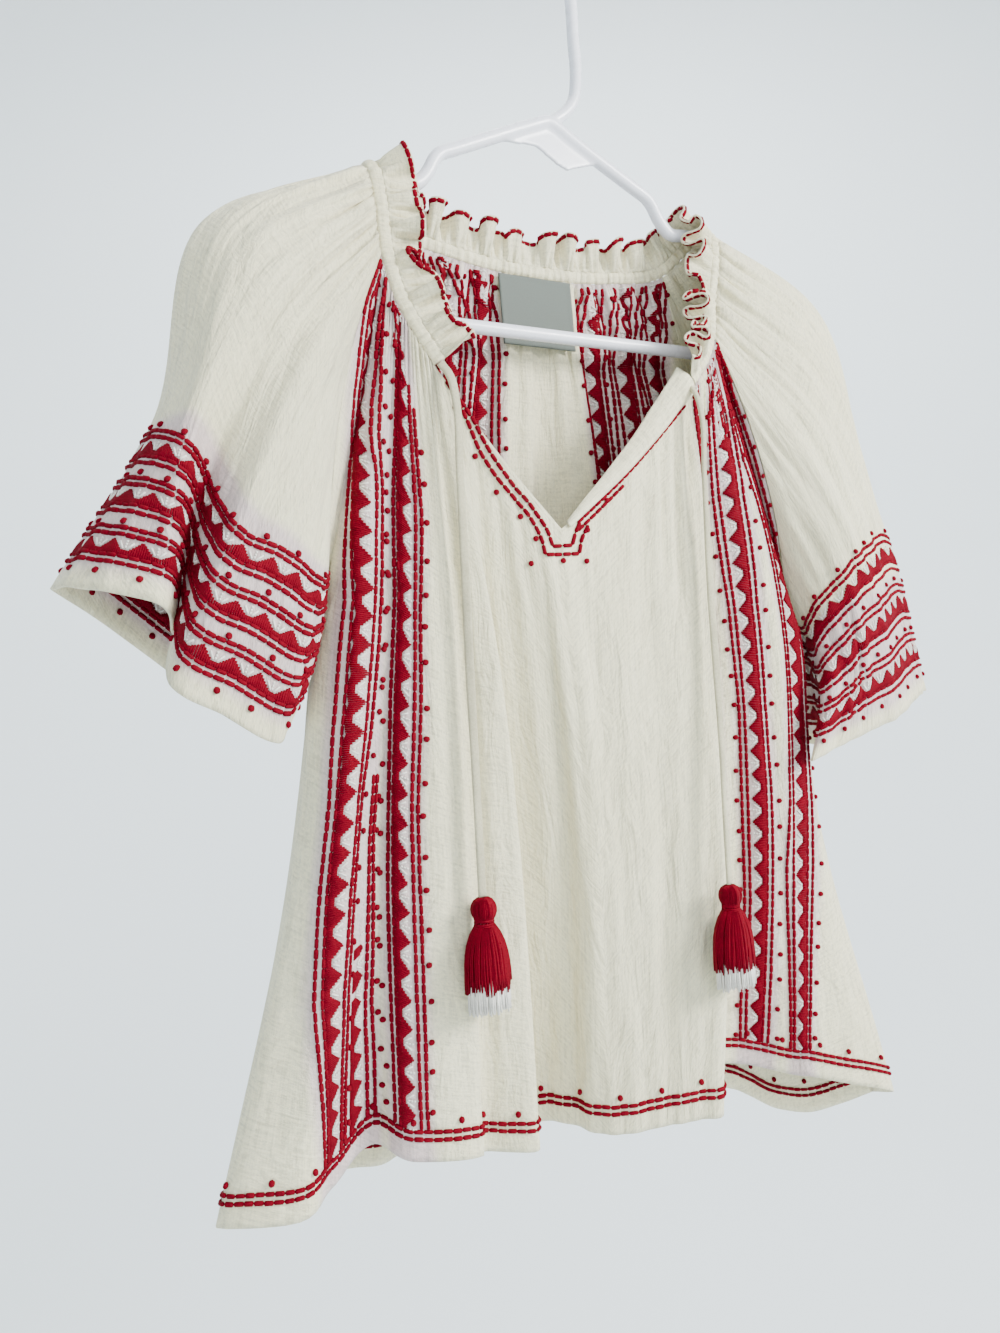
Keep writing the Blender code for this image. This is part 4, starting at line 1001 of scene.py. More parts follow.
class Panel:
    """One cut piece of the blouse on a fine grid, with lengths along it for placing stitches."""

    def __init__(self, places, rows, grid, closed, outward=1):
        self.places, self.rows, self.grid, self.closed = np.asarray(places), np.asarray(rows), grid, closed
        self.normals = grid_normals(grid, closed) * outward
        self.run, self.fall = running(grid, 0), running(grid, 1)
        # share of the painted shade between the stitches, filled in by the columns and bands
        self.stitch_shade = np.zeros(grid.shape[:2])

    def look(self, field, place, row):
        """Values of a grid field at places and rows."""
        m, n = self.grid.shape[:2]
        place = np.asarray(place, float)
        if self.closed:
            span = self.places[-1] + (self.places[1] - self.places[0])
            place = np.mod(place, span)
            fi = np.interp(place, np.append(self.places, span), np.arange(m + 1))
        else:
            fi = np.interp(place, self.places, np.arange(m))
        fj = np.interp(row, self.rows, np.arange(n))
        i0 = np.minimum(fi.astype(int), m - 1 if self.closed else m - 2)
        j0 = np.minimum(fj.astype(int), n - 2)
        i1 = (i0 + 1) % m
        a, b = fi - i0, fj - j0
        if field.ndim == 3:
            a, b = a[..., None], b[..., None]
        return ((field[i0, j0] * (1 - a) + field[i1, j0] * a) * (1 - b)
                + (field[i0, j0 + 1] * (1 - a) + field[i1, j0 + 1] * a) * b)

    def at(self, place, row, lift=0.0):
        """Points on the outside of the cloth, and its normals there."""
        normals = unit(self.look(self.normals, place, row))
        return self.look(self.grid, place, row) + normals * lift, normals

    def along(self, place, row, distance):
        """The place a distance away along a row, in millimetres."""
        fj = float(np.interp(row, self.rows, np.arange(len(self.rows))))
        j = min(int(fj), len(self.rows) - 2)
        run = self.run[:, j] * (1 - fj + j) + self.run[:, j + 1] * (fj - j)
        return float(np.interp(np.interp(place, self.places, run) + distance, run, self.places))

    def above_hem(self, place, height):
        """The row a height above the panel's lower edge, in millimetres."""
        place = np.atleast_1d(np.asarray(place, float))
        falls = np.stack([self.look(self.fall, place, np.full(len(place), r)) for r in self.rows], axis=1)
        height = np.broadcast_to(height, (len(place),))
        out = np.array([np.interp(falls[k, -1] - height[k], falls[k], self.rows) for k in range(len(place))])
        return out


class Ribbon:
    """A column or band of embroidery: stations along it by offsets across it."""

    def __init__(self, panel, places, rows, offsets, lift, hidden=None, face=1):
        self.panel, self.places, self.rows, self.offsets = panel, places, rows, np.asarray(offsets)
        self.lift, self.face = lift, face
        zero = [np.interp(0.0, self.offsets, places[k]) for k in range(len(places))]
        zero_row = [np.interp(0.0, self.offsets, rows[k]) for k in range(len(rows))]
        points, _ = panel.at(np.array(zero), np.array(zero_row))
        self.station = lengths_along(points)
        self.length = self.station[-1]
        self.hidden = hidden

    def spot(self, station, offset):
        """Place and row at stations along and offsets across the ribbon."""
        station, offset = np.broadcast_arrays(np.asarray(station, float), np.asarray(offset, float))
        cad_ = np.interp(station, self.station, np.arange(len(self.station)))
        k = np.minimum(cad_.astype(int), len(self.station) - 2)
        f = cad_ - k
        fo = np.interp(offset, self.offsets, np.arange(len(self.offsets)))
        o = np.minimum(fo.astype(int), len(self.offsets) - 2)
        g = fo - o

        def read(table):
            table = np.asarray(table)
            return ((table[k, o] * (1 - f) + table[k + 1, o] * f) * (1 - g)
                    + (table[k, o + 1] * (1 - f) + table[k + 1, o + 1] * f) * g)
        return read(self.places), read(self.rows)

    def points(self, station, offset, lift=None):
        """Points on the ribbon and the normals there."""
        place, row = self.spot(station, offset)
        points, normals = self.panel.at(place, row, self.face * (self.lift if lift is None else lift))
        return points, normals * self.face

    def shown(self, station, offset):
        """Which points no fold hides."""
        if self.hidden is None:
            return np.ones(np.shape(station), bool)
        place, row = self.spot(station, offset)
        return ~self.hidden(place, row)


def running_line(stitches, ribbon, offset, start, end, length, width, gap=-0.75, wander=0.0, seed=1):
    """Running stitches along a ribbon at one offset."""
    random = np.random.default_rng(seed)
    pitch = length + gap
    count = int((end - start) / pitch)
    if count < 1:
        return
    middles = start + (np.arange(count) + 0.5) * (end - start) / count
    sway = wander * random.normal(0, 1, count)
    a, _ = ribbon.points(middles - length / 2, offset + sway)
    b, _ = ribbon.points(middles + length / 2, offset + sway)
    c, nc = ribbon.points(middles, offset + sway)
    keep = ribbon.shown(middles, np.full(count, offset)) & (np.linalg.norm(b - a, axis=1) > length * 0.4)
    lengths = np.linalg.norm(b - a, axis=1) / 2
    stitches.add(STITCH, c[keep], (b - a)[keep], nc[keep], lengths[keep],
                 width / 2 * random.uniform(0.88, 1.1, count)[keep])


def knot_line(stitches, ribbon, offset, start, end, spacing, width, seed=1):
    """Knot stitches, loosely spaced."""
    random = np.random.default_rng(seed)
    middles = np.arange(start + spacing * 0.4, end, spacing)
    middles = middles + random.uniform(-2.5, 2.5, len(middles))
    offsets = offset + random.uniform(-0.7, 0.7, len(middles))
    points, normals = ribbon.points(middles, offsets, ribbon.lift + 0.35)
    near, _ = ribbon.points(middles, offsets + 1.0)
    keep = ribbon.shown(middles, offsets)
    stitches.add(KNOT, points[keep], (near - points)[keep], normals[keep], width * 0.56, width / 2)


# Satin triangles: threads in each, their foot and least height in millimetres, and a thread's width as
# a share of its distance to the next one
SATIN_THREADS, SATIN_FOOT, SATIN_LEAST, SATIN_FULL = 14, -1.6, 2.0, 0.80
# Fly stitches between two triangles: their half width, the low and high ends of the upright ones, and
# each slanting arm's sideways and upward start, its sideways end and its end's share of the height
FLY_HALF_WIDTH, FLY_UPRIGHTS, FLY_ARM = 0.7, ((3.2, 4.6), (5.0, 6.4), (6.8, 8.2)), (0.9, 2.6, 3.6, 0.80)
# Distance between two knots of a column or band, and how much narrower its inner outside line is
KNOT_STEP, NARROW_LINE = 20.5, 0.8


def triangle_row(red, white, ribbon, start, end, period, height, seed=1):
    """Satin triangles whose threads lie across the ribbon, and white fly stitches between their tips."""
    random = np.random.default_rng(seed)
    count = max(1, int(round((end - start) / period)))
    period = (end - start) / count
    stations, heights = [], []
    for t in range(count):
        peak = 0.5 + random.uniform(-0.03, 0.03)
        tall = height * random.uniform(0.94, 1.03)
        for k in range(SATIN_THREADS):
            s = (k + 0.5) / SATIN_THREADS
            rise = s / peak if s < peak else (1 - s) / (1 - peak)
            stations.append(start + (t + s) * period)
            heights.append(max(SATIN_LEAST, tall * rise + random.uniform(-0.18, 0.18)))
    stations, heights = np.array(stations), np.array(heights)
    a, _ = ribbon.points(stations, np.full(len(stations), SATIN_FOOT))
    b, _ = ribbon.points(stations, heights)
    c, nc = ribbon.points(stations, (heights + SATIN_FOOT) / 2)
    keep = ribbon.shown(stations, heights / 2)
    red.add(SATIN, c[keep], (b - a)[keep], nc[keep], np.linalg.norm(b - a, axis=1)[keep] / 2,
            period / SATIN_THREADS * SATIN_FULL)
    marks = []
    aside, low_end, far_aside, share = FLY_ARM
    for t in range(count + 1):
        s = start + t * period
        for side in (-1, 1):
            marks.append((s + side * aside, low_end, s + side * far_aside, height * share))
        for low, high in FLY_UPRIGHTS:
            marks.append((s, low, s, high))
    marks = np.array(marks)
    near, far = np.minimum(marks[:, 0], marks[:, 2]), np.maximum(marks[:, 0], marks[:, 2])
    inside = (near > start - 2) & (far < end + 2)
    marks = marks[inside & (marks[:, 0] > 1) & (marks[:, 0] < ribbon.length - 1)]
    a, na = ribbon.points(marks[:, 0], marks[:, 1])
    b, _ = ribbon.points(marks[:, 2], marks[:, 3])
    keep = ribbon.shown(marks[:, 0], marks[:, 1])
    white.add(SATIN, ((a + b) / 2)[keep], (b - a)[keep], na[keep],
              np.linalg.norm(b - a, axis=1)[keep] / 2, FLY_HALF_WIDTH)


def stitch_ribbon(red, white, ribbon, start, end, seed, knots_in=True, knots_out=True):
    """One whole column or band: lines, triangles, fly stitches and knots."""
    thread = bpy.context.scene.blouse_thread
    length, width = thread.stitch_length / MM, thread.stitch_width / MM
    for k, offset in enumerate((LINE_OUT_2, LINE_OUT_1, LINE_IN_1, LINE_IN_2)):
        running_line(red, ribbon, offset, start, end, length,
                     width * (NARROW_LINE if offset == LINE_OUT_1 else 1.0), wander=0.08, seed=seed * 10 + k)
    triangle_row(red, white, ribbon, start, end, thread.triangle_length / MM, TIP_HEIGHT, seed)
    if knots_in:
        knot_line(red, ribbon, KNOTS_IN, start, end, KNOT_STEP, thread.knot_width / MM, seed * 10 + 7)
    if knots_out:
        knot_line(red, ribbon, KNOTS_OUT, start, end, KNOT_STEP, thread.knot_width / MM, seed * 10 + 8)


def column(panel, table, toward, lift, hidden=None, face=1):
    """A column down a panel from its table; toward is +1 where the tips point to higher places."""
    table = np.array(table)
    offsets, rows = np.array(RIBBON_OFFSETS), panel.rows
    places = np.zeros((len(rows), len(offsets)))
    for j, row in enumerate(rows):
        base = np.interp(row, table[:, 0], table[:, 1])
        far = np.interp(row, table[:, 0], table[:, 2])
        run = panel.run[:, j]
        width = abs(np.interp(far, panel.places, run) - np.interp(base, panel.places, run))
        scale = np.clip(width / LINE_IN_2, 0.55, 1.15)
        centre = np.interp(base, panel.places, run)
        places[j] = np.interp(centre + toward * scale * offsets, run, panel.places)
        # painted shade: marks the cloth between the column's outer and inner knot rows for the darker
        # stitched-cotton colour
        low, high = sorted(centre + toward * scale * np.array((KNOTS_OUT, KNOTS_IN)))
        between = np.minimum(run - low, high - run)
        panel.stitch_shade[:, j] = np.maximum(panel.stitch_shade[:, j], np.clip(between / 6 + 0.5, 0, 1))
    return Ribbon(panel, places, np.repeat(rows[:, None], len(offsets), axis=1), offsets, lift, hidden, face)


def band(panel, height, first, last, count, lift, rise, face=1):
    """A band round a panel at one height above its lower edge, between two places."""
    along = np.linspace(first, last, count)
    rise = np.array(rise)
    factor = np.interp(along, rise[:, 0], rise[:, 1])
    rows = np.stack([panel.above_hem(along, (height + SLEEVE_BAND_SHARE * offset) * factor)
                     for offset in RIBBON_OFFSETS], axis=1)
    # painted shade: marks the cloth of the band, up from the lower edge, for the darker stitched-cotton
    # colour
    above = panel.fall[:, -1:] - panel.fall
    panel.stitch_shade[:] = np.maximum(panel.stitch_shade, np.clip(np.minimum(above - 10, height + 22 - above) / 6 + 0.5, 0, 1))
    places = np.repeat(along[:, None], len(RIBBON_OFFSETS), axis=1)
    return Ribbon(panel, places, rows, RIBBON_OFFSETS, lift, None, face)


# Heights of a hem's stitched lines and knots above its edge, and the knots' distance, in millimetres
HEM_LINES, HEM_KNOTS, HEM_KNOT_STEP = (12.6, 16.9), 22.5, 26.0
# Where a column stops: height above the hem, and the row that its base is read at
COLUMN_FOOT, COLUMN_FOOT_ROW = 18.0, 0.96


def hem_lines(red, panel, first, last, seed, face=1):
    """Two running-stitch lines along a hem, with knots above them."""
    thread = bpy.context.scene.blouse_thread
    offsets = [0.0, 8.0, 16.0, 24.0, 32.0]
    along = np.linspace(first, last, 420)
    rows = np.stack([panel.above_hem(along, offset) for offset in offsets], axis=1)
    ribbon = Ribbon(panel, np.repeat(along[:, None], len(offsets), axis=1), rows, offsets, STITCH_LIFT + 0.25,
                    None, face)
    for k, height in enumerate(HEM_LINES):
        running_line(red, ribbon, height, 1.5, ribbon.length - 1.5, thread.stitch_length / MM,
                     thread.stitch_width / MM, wander=0.1, seed=seed + k)
    knot_line(red, ribbon, HEM_KNOTS, 4, ribbon.length - 4, HEM_KNOT_STEP, thread.knot_width / MM, seed + 5)


# ---------------------------------------------------------------- the panels

FRONT_COUNT, BACK_COUNT, SLEEVE_COUNT = 4 * 64, 224, 252
BODY_STEPS, SLEEVE_STEPS = 128, 68
STITCH_LIFT = 0.75


def gathered(grid, panel_edges, places, count, depth, reach, closed):
    """Fine crimps right under the casing, where the drawstring draws the cloth in."""
    first, last = panel_edges
    along = (np.asarray(places) - first) / (last - first)
    inside = np.clip(np.minimum(along, 1 - along) * 14, 0, 1)
    inside[(along < 0) | (along > 1)] = 0
    wave = np.sin(2 * math.pi * count * along + 1.7 * np.sin(2 * math.pi * 3.1 * along)
                  + 0.8 * np.sin(2 * math.pi * 7.3 * along))
    downs = running(grid, 1)
    lift = (depth * wave * inside)[:, None] * np.clip(downs / 2, 0, 1) * np.exp(-downs / reach)
    return grid + grid_normals(grid, closed) * lift[:, :, None]


def crumpled(grid, places, rows, depth, seed, closed):
    """Small soft wrinkles of worn cotton, long down the cloth and fading at the panel's edges."""
    random = np.random.default_rng(seed)
    places, rows = np.asarray(places)[:, None], np.asarray(rows)[None, :]
    span = float(places[-1, 0] - places[0, 0])
    lift = np.zeros(grid.shape[:2])
    for _ in range(16):
        turns = round(random.uniform(7, 26))
        lean, phase = random.uniform(-5, 5), random.uniform(0, 6.3)
        mask = 0.5 + 0.5 * np.sin(random.uniform(2, 7) * rows * 2 + random.uniform(2, 5) * places
                                  + random.uniform(0, 6.3))
        lift += mask * np.sin(2 * math.pi * turns * places / max(span, 1e-6) + lean * rows + phase) / 3.2
    edge = np.clip(rows * 12, 0, 1)
    if not closed:
        along = (places - places[0]) / span
        edge = edge * np.clip(np.minimum(along, 1 - along) * 40, 0, 1)
    else:
        edge = (edge * np.clip(np.abs(places - places[0]) * 12, 0, 1)
                * np.clip((places[-1] - places) * 12, 0, 1))
    return grid + grid_normals(grid, closed) * (depth * lift * edge)[:, :, None]


# Crimps right under the casing: first and last place, number, depth and how far down they reach
FRONT_CRIMPS = [((0.0, 1.0), 17, 1.5, 38), ((3.0, 4.0), 15, 1.5, 38)]
BACK_CRIMPS = [((0.0, 1.0), 44, 1.3, 40)]
SLEEVE_CRIMPS = [((1.02, 1.60), 15, 2.4, 60), ((1.62, 1.98), 9, 1.8, 48)]


def worn_panel(grid, places, rows, creases, crumples, crimps, closed, outward):
    """A panel with its creases, crumples and crimps, cut back to its seams."""
    grid = press_creases(grid, places, rows, creases, closed, outward)
    spread, depth, seed = crumples
    grid = crumpled(grid, places * spread, rows, depth, seed, closed)
    for edges, count, crimp, reach in crimps:
        grid = gathered(grid, edges, places, count, crimp, reach, closed)
    return Panel(places, rows, pull_edges(grid, SEAM_GAP, closed), closed, outward)


def front_panel():
    """The front on its fine grid."""
    places, rows = np.linspace(0, 4, FRONT_COUNT + 1), np.linspace(0, 1, BODY_STEPS)
    return worn_panel(front_grid(places, rows), places, rows, FRONT_CREASES, (1, 0.95, 3), FRONT_CRIMPS,
                      False, -1)


def back_panel():
    """The back on its fine grid."""
    places, rows = np.linspace(0, 1, BACK_COUNT), np.linspace(0, 1, BODY_STEPS)
    return worn_panel(back_grid(places, rows), places, rows, BACK_CREASES, (4, 0.95, 5), BACK_CRIMPS,
                      False, -1)


def sleeve_panel(side):
    """A sleeve on its fine grid; side is -1 at the left and 1 at the right."""
    places = np.arange(SLEEVE_COUNT) * 3.0 / SLEEVE_COUNT
    rows = np.linspace(0, 1, SLEEVE_STEPS)
    return worn_panel(sleeve_grid(side, places, rows), places, rows, SLEEVE_CREASES, (2, 0.85, 8 + side),
                      SLEEVE_CRIMPS, True, -side)


# How much thicker a turned hem is, and how softly it steps back to the single cloth
HEM_FOLD, HEM_STEP = 0.55, 0.35
PANELS = {}


def panel(name):
    """The fine panel of one name, made once."""
    if name not in PANELS:
        makers = {"front": front_panel, "back": back_panel,
                  "sleeve_left": lambda: sleeve_panel(-1), "sleeve_right": lambda: sleeve_panel(1)}
        PANELS[name] = makers[name]()
    return PANELS[name]


def cloth_piece(node, flat, area, rests_on):
    """The cloth of one panel: a thin wall with a thicker turned hem."""
    cloth = bpy.context.scene.blouse_cloth
    here = panel(node)
    hem = cloth.hem / MM
    above = here.fall[:, -1:] - here.fall
    thick = cloth.wall / MM + HEM_FOLD / (1 + np.exp((above - hem) / HEM_STEP))
    middle = here.run[:, here.run.shape[1] // 2]
    across = np.repeat(middle[:, None], len(here.rows), axis=1)
    vertices, faces, uv = shell(here.grid, here.closed, thick, across, here.fall)
    # the painted shade between the stitches, for both faces of the wall
    stitch_shade = np.concatenate([here.stitch_shade.ravel(), here.stitch_shade.ravel()])
    made = piece("blouse_" + node, vertices, faces, "cotton", uv, stitch_shade, (node,))


# Cut size of each panel in metres, its area in square metres and what it hangs on
PANEL_CUTS = [("front", (0.66, 0.56), 0.25, "neck_casing"), ("back", (0.62, 0.62), 0.26, "neck_casing"),
              ("sleeve_left", (0.46, 0.30), 0.10, "hanger"), ("sleeve_right", (0.46, 0.33), 0.12, "hanger")]


class BLOUSE_OT_panels(bpy.types.Operator):
    """Makes the front, the back and the two sleeves"""
    bl_idname = "blouse.panels"
    bl_label = "Cloth panels"

    def execute(self, context):
        for cut in PANEL_CUTS:
            cloth_piece(*cut)
        return {"FINISHED"}


def side_hidden(limit_table, above):
    """Where a column lies under the fold beside it: a test on place and row."""
    table = np.array(limit_table)

    def test(place, row):
        edge = np.interp(row, table[:, 0], table[:, 1])
        return place < edge if above else place > edge
    return test


# Folds of the front that hide a column beside them: row and place of the fold's edge
LEFT_MIDDLE_EDGE = [(0.0, 0.60), (0.52, 0.60), (0.56, 0.37), (0.66, 0.355), (0.76, 0.318), (0.82, 0.305),
                    (1.0, 0.30)]
LEFT_INNER_EDGE = [(0.0, 0.50), (0.05, 0.56), (0.10, 0.66), (0.14, 0.80), (1.0, 0.80)]


class BLOUSE_OT_front_embroidery(bpy.types.Operator):
    """Embroiders the six columns and the hem of the front"""
    bl_idname = "blouse.front_embroidery"
    bl_label = "Front embroidery"

    def execute(self, context):
        front = panel("front")
        red, white = Stitches(), Stitches()
        plans = [("left_outer", 1, None, True, False),
                 ("left_inner", 1, side_hidden(LEFT_INNER_EDGE, False), True, True),
                 ("left_middle", 1, side_hidden(LEFT_MIDDLE_EDGE, True), True, False),
                 ("right_inner", -1, None, False, False), ("right_middle", -1, None, True, True),
                 ("right_outer", -1, None, False, True)]
        for k, (name, toward, hidden, knots_in, knots_out) in enumerate(plans):
            ribbon = column(front, FRONT_COLUMNS[name], toward, STITCH_LIFT, hidden)
            table = np.array(FRONT_COLUMNS[name])
            base_place = np.interp(COLUMN_FOOT_ROW, table[:, 0], table[:, 1])
            end_row = float(front.above_hem([base_place], COLUMN_FOOT)[0])
            end = float(np.interp(end_row, front.rows, ribbon.station))
            stitch_ribbon(red, white, ribbon, 3.0, end, 11 + k, knots_in, knots_out)
        hem_lines(red, front, 0.01, 3.99, 71)
        red.make("front_red_stitches", "red", "red_yarn")
        white.make("front_white_stitches", "white", "white_yarn")
        return {"FINISHED"}


# The back's innermost columns: row and distance from the middle; then each next column's step
BACK_INNER, BACK_STEP = ((0.0, 46.0), (0.1, 50.0), (0.5, 58.0), (1.0, 64.0)), REPEAT * 0.82
# How far the back's reverse stitches stand in from the middle of its cloth
REVERSE_LIFT = 1.05


class BLOUSE_OT_back_embroidery(bpy.types.Operator):
    """Embroiders the six columns and the hem of the back"""
    bl_idname = "blouse.back_embroidery"
    bl_label = "Back embroidery"

    def execute(self, context):
        back = panel("back")
        red, reverse, white = Stitches(), Stitches(), Stitches()
        middle = 0.5
        for side in (-1, 1):
            for k in range(3):
                places = []
                for row, inner in BACK_INNER:
                    distance = side * (inner + BACK_STEP * k)
                    base = back.along(middle, row, distance)
                    far = back.along(middle, row, distance - side * LINE_IN_2)
                    places.append((row, base, far))
                end_row = float(back.above_hem([places[-1][1]], COLUMN_FOOT)[0])
                for face, reds in ((1, red), (-1, reverse)):
                    lift = STITCH_LIFT if face > 0 else REVERSE_LIFT
                    ribbon = column(back, places, -side, lift, None, face)
                    end = float(np.interp(end_row, back.rows, ribbon.station))
                    stitch_ribbon(reds, white, ribbon, 3.0, end, 31 + k + 5 * side, True, k == 2)
        hem_lines(red, back, 0.01, 0.99, 83)
        hem_lines(reverse, back, 0.01, 0.99, 83, -1)
        red.make("back_red_stitches", "red", "red_yarn")
        reverse.make("back_red_reverse", "red", "red_yarn")
        white.make("back_white_stitches", "white", "white_yarn")
        return {"FINISHED"}


class BLOUSE_OT_sleeve_embroidery(bpy.types.Operator):
    """Embroiders the three bands round each sleeve"""
    bl_idname = "blouse.sleeve_embroidery"
    bl_label = "Sleeve embroidery"

    def execute(self, context):
        for name in ("sleeve_left", "sleeve_right"):
            here = panel(name)
            red, white = Stitches(), Stitches()
            for face in (1, -1):
                for k, height in enumerate(SLEEVE_BANDS):
                    ribbon = band(here, height, 0.0, 3.0, 300, STITCH_LIFT, BAND_RISE[name], face)
                    stitch_ribbon(red, white, ribbon, 0.5, ribbon.length - 0.5, 51 + k, True, k == 0)
            red.make(name + "_red_stitches", "red", "red_yarn")
            white.make(name + "_white_stitches", "white", "white_yarn")
        return {"FINISHED"}


# ---------------------------------------------------------------- neck

FRILL_STEPS = 26
FRILL_LEVELS = 14
# Places where the frill is pinched down between two lobes: place along it, half width, share of height
FRILL_PINCHES = [(0.118, 0.012, 0.55), (0.335, 0.006, 0.30), (0.45, 0.006, 0.25), (0.60, 0.006, 0.28),
                 (0.86, 0.010, 0.35)]
# Cloth of the frill's wall and of its rolled edge, and how far down that edge reaches
FRILL_WALL, FRILL_ROLL, FRILL_ROLL_H = 0.8, 1.25, 1.6
FRILL_CUT = 1100
# The frill's red edge: share of its height, distance from stitch to stitch, half length and half width
FRILL_EDGE_AT, FRILL_STITCH = 0.085, (4.9, 3.0, 1.75)
# How much the scene's casing laps the frill and the panels, and how much rounder it is than the solid
CASING_LAP, CASING_ROUND = 0.35, 0.25
CASING_COUNT, CASING_SIDES, CASING_CUT = 1100, 14, 560.0


def frill_height():
    """The frill's height above the casing in millimetres."""
    return round(bpy.context.scene.blouse_neck.frill / MM, 4)


def frill_surface():
    """Middle points of the frill: waves that grow and lean towards its free edge."""
    count = FRILL_WAVES * FRILL_STEPS + 1
    run = np.linspace(0, 1, count)
    points, up, out = neck_frame(run)
    phase = 2 * math.pi * FRILL_WAVES * (run + 0.0055 * np.sin(2 * math.pi * 5.3 * run)
                                         + 0.0035 * np.sin(2 * math.pi * 11.2 * run + 1.0))
    wave = np.cos(phase)
    swing = 1 + 0.45 * np.cos(phase / 2 + 0.9 * np.sin(phase * 0.11)) + 0.18 * np.sin(phase * 0.29 + 2.0)
    pinch = np.ones(count)
    for place, width, drop in FRILL_PINCHES:
        pinch -= drop * np.exp(-((run - place) / width) ** 2)
    curl = np.sin(2 * phase + 0.5 * np.sin(phase * 0.31)) * (0.75 + 0.25 * np.sin(phase * 0.53 + 2.1))
    tangent = unit(np.gradient(points, axis=0))
    levels = np.linspace(0, 1, FRILL_LEVELS)
    tall = frill_height()
    grid = np.zeros((count, len(levels), 3))
    for j, level in enumerate(levels):
        uneven = 1 - 0.10 * wave + 0.06 * np.sin(phase * 0.43 + 1.3) + 0.05 * np.cos(phase / 2)
        height = CASING_H / 2 + CASING_GAP + tall * level * pinch * uneven
        amp = 1.75 * FRILL_AMP * level ** 0.75 * swing
        crimp = 1.6 * np.sin(phase * 4.0 + 0.7) * (1 - level) ** 0.9 * min(1.0, level * 5)
        grid[:, j] = (points + up * height[:, None] + out * (wave * amp + crimp)[:, None]
                      + tangent * (curl * 3.3 * level ** 1.6)[:, None])
    return grid[:, ::-1]


def make_casing():
    """The drawstring casing: a narrow tube, puckered by the cord in it."""
    count, sides = CASING_COUNT, CASING_SIDES
    run = np.linspace(0, 1, count)
    points, up, out = neck_frame(run)
    ring = np.linspace(0, 2 * math.pi, sides, endpoint=False)
    pucker = (1 + 0.24 * np.sin(2 * math.pi * 108 * run + 2 * np.sin(40 * run))
              + 0.14 * np.sin(2 * math.pi * 67 * run + 1.0))
    half = CASING_H / 2 + CASING_GAP + CASING_LAP
    high = (half * np.cos(ring))[None, :] * (1.0 + 0.22 * (pucker - 1))[:, None]
    deep = ((CASING_D / 2 + CASING_ROUND) * np.sin(ring))[None, :] * pucker[:, None]
    rings = points[:, None, :] + up[:, None, :] * high[:, :, None] + out[:, None, :] * deep[:, :, None]
    vertices = list(rings.reshape(-1, 3)) + [points[0], points[-1]]
    faces = tube_faces(count, sides)
    uv = []
    for a, b in zip(run[:-1] * CASING_CUT, run[1:] * CASING_CUT):
        for j in range(sides):
            uv += [(a, j), (a, j + 1), (b, j + 1), (b, j)]
    last = len(vertices) - 1
    for end, base in ((last - 1, 0), (last, (count - 1) * sides)):
        for j in range(sides):
            a, b = base + j, base + (j + 1) % sides
            faces.append((b, a, end) if base == 0 else (a, b, end))
            uv += [(0, 0), (1, 0), (0, 1)]
    clean_outside(piece("blouse_casing", vertices, faces, "cotton", uv,
                        np.zeros(len(vertices)), ("neck_casing",)))


class BLOUSE_OT_neck(bpy.types.Operator):
    """Makes the drawstring casing and the frill with its red edge"""
    bl_idname = "blouse.neck"
    bl_label = "Casing and frill"

    def execute(self, context):
        make_casing()
        grid = frill_surface()
        m, n = grid.shape[:2]
        across = np.repeat((np.linspace(0, 1, m) * FRILL_CUT)[:, None], n, axis=1)
        down = np.repeat((np.linspace(0, 1, n) * frill_height())[None, :], m, axis=0)
        thick = np.where(down < FRILL_ROLL_H, FRILL_ROLL, FRILL_WALL)
        vertices, faces, uv = shell(grid, False, thick, across, down)
        frill = piece("blouse_frill", vertices, faces, "cotton", uv,
                      np.zeros(len(vertices)), ("neck_frill",))
        red = Stitches()
        places = np.linspace(0, 1, m)
        surface = Panel(places, np.linspace(0, 1, n), grid, False)
        run = lengths_along(surface.look(surface.grid, places, np.full(m, FRILL_EDGE_AT)))
        pitch, half_length, half_width = FRILL_STITCH
        middles = np.arange(3.0, run[-1] - 3.0, pitch)
        row = np.full(len(middles), FRILL_EDGE_AT)
        centre, normals = surface.at(np.interp(middles, run, places), row)
        ahead, _ = surface.at(np.interp(middles + 1.0, run, places), row)
        red.add(STITCH, centre, ahead - centre, normals, half_length, half_width)
        red.make("frill_red_stitches", "red", "red_yarn")
        return {"FINISHED"}


# Stitched lines beside the neck slit, in millimetres: x, z from top to foot
SLIT_LINES = [
    [(-98.0, -287.5), (-88.0, -308.0), (-78.0, -329.0), (-66.0, -346.0), (-52.0, -362.0), (-44.0, -376.0),
     (-42.0, -385.5)],
    [(-95.5, -286.0), (-85.0, -306.5), (-74.5, -326.0), (-62.5, -343.0), (-48.5, -359.0), (-39.5, -373.0),
     (-37.0, -380.5)],
    [(-42.0, -385.5), (-18.5, -385.0)],
    [(-37.0, -380.5), (-23.0, -380.0)],
    [(-18.5, -385.0), (-16.0, -376.0), (-11.0, -368.0)],
    [(-23.0, -380.0), (-20.5, -373.0), (-16.5, -366.0)],
]
# Stitched lines under the facing on the right: first and last place, and distance below the edge
FACING_LINES = [(2.10, 2.93, 5.2), (2.10, 2.42, 9.8)]
# Knots beside the slit: x, z
SLIT_KNOTS = [(-94, -303), (-82.5, -329), (-70, -349), (-56, -363), (-47.5, -376), (-50, -390),
              (-30.0, -389), (-14, -389.5), (-12, -371), (4, -353)]
SLIT_LIFT, SLIT_KNOT_LIFT = 0.4, 0.7
# The turned-out facing: places along the slit, the way it stands up, and its wall
LAPEL_PLACES, LAPEL_RISE, LAPEL_WALL = (2.03, 2.985), (-0.66, 0.0, 0.75), 0.8


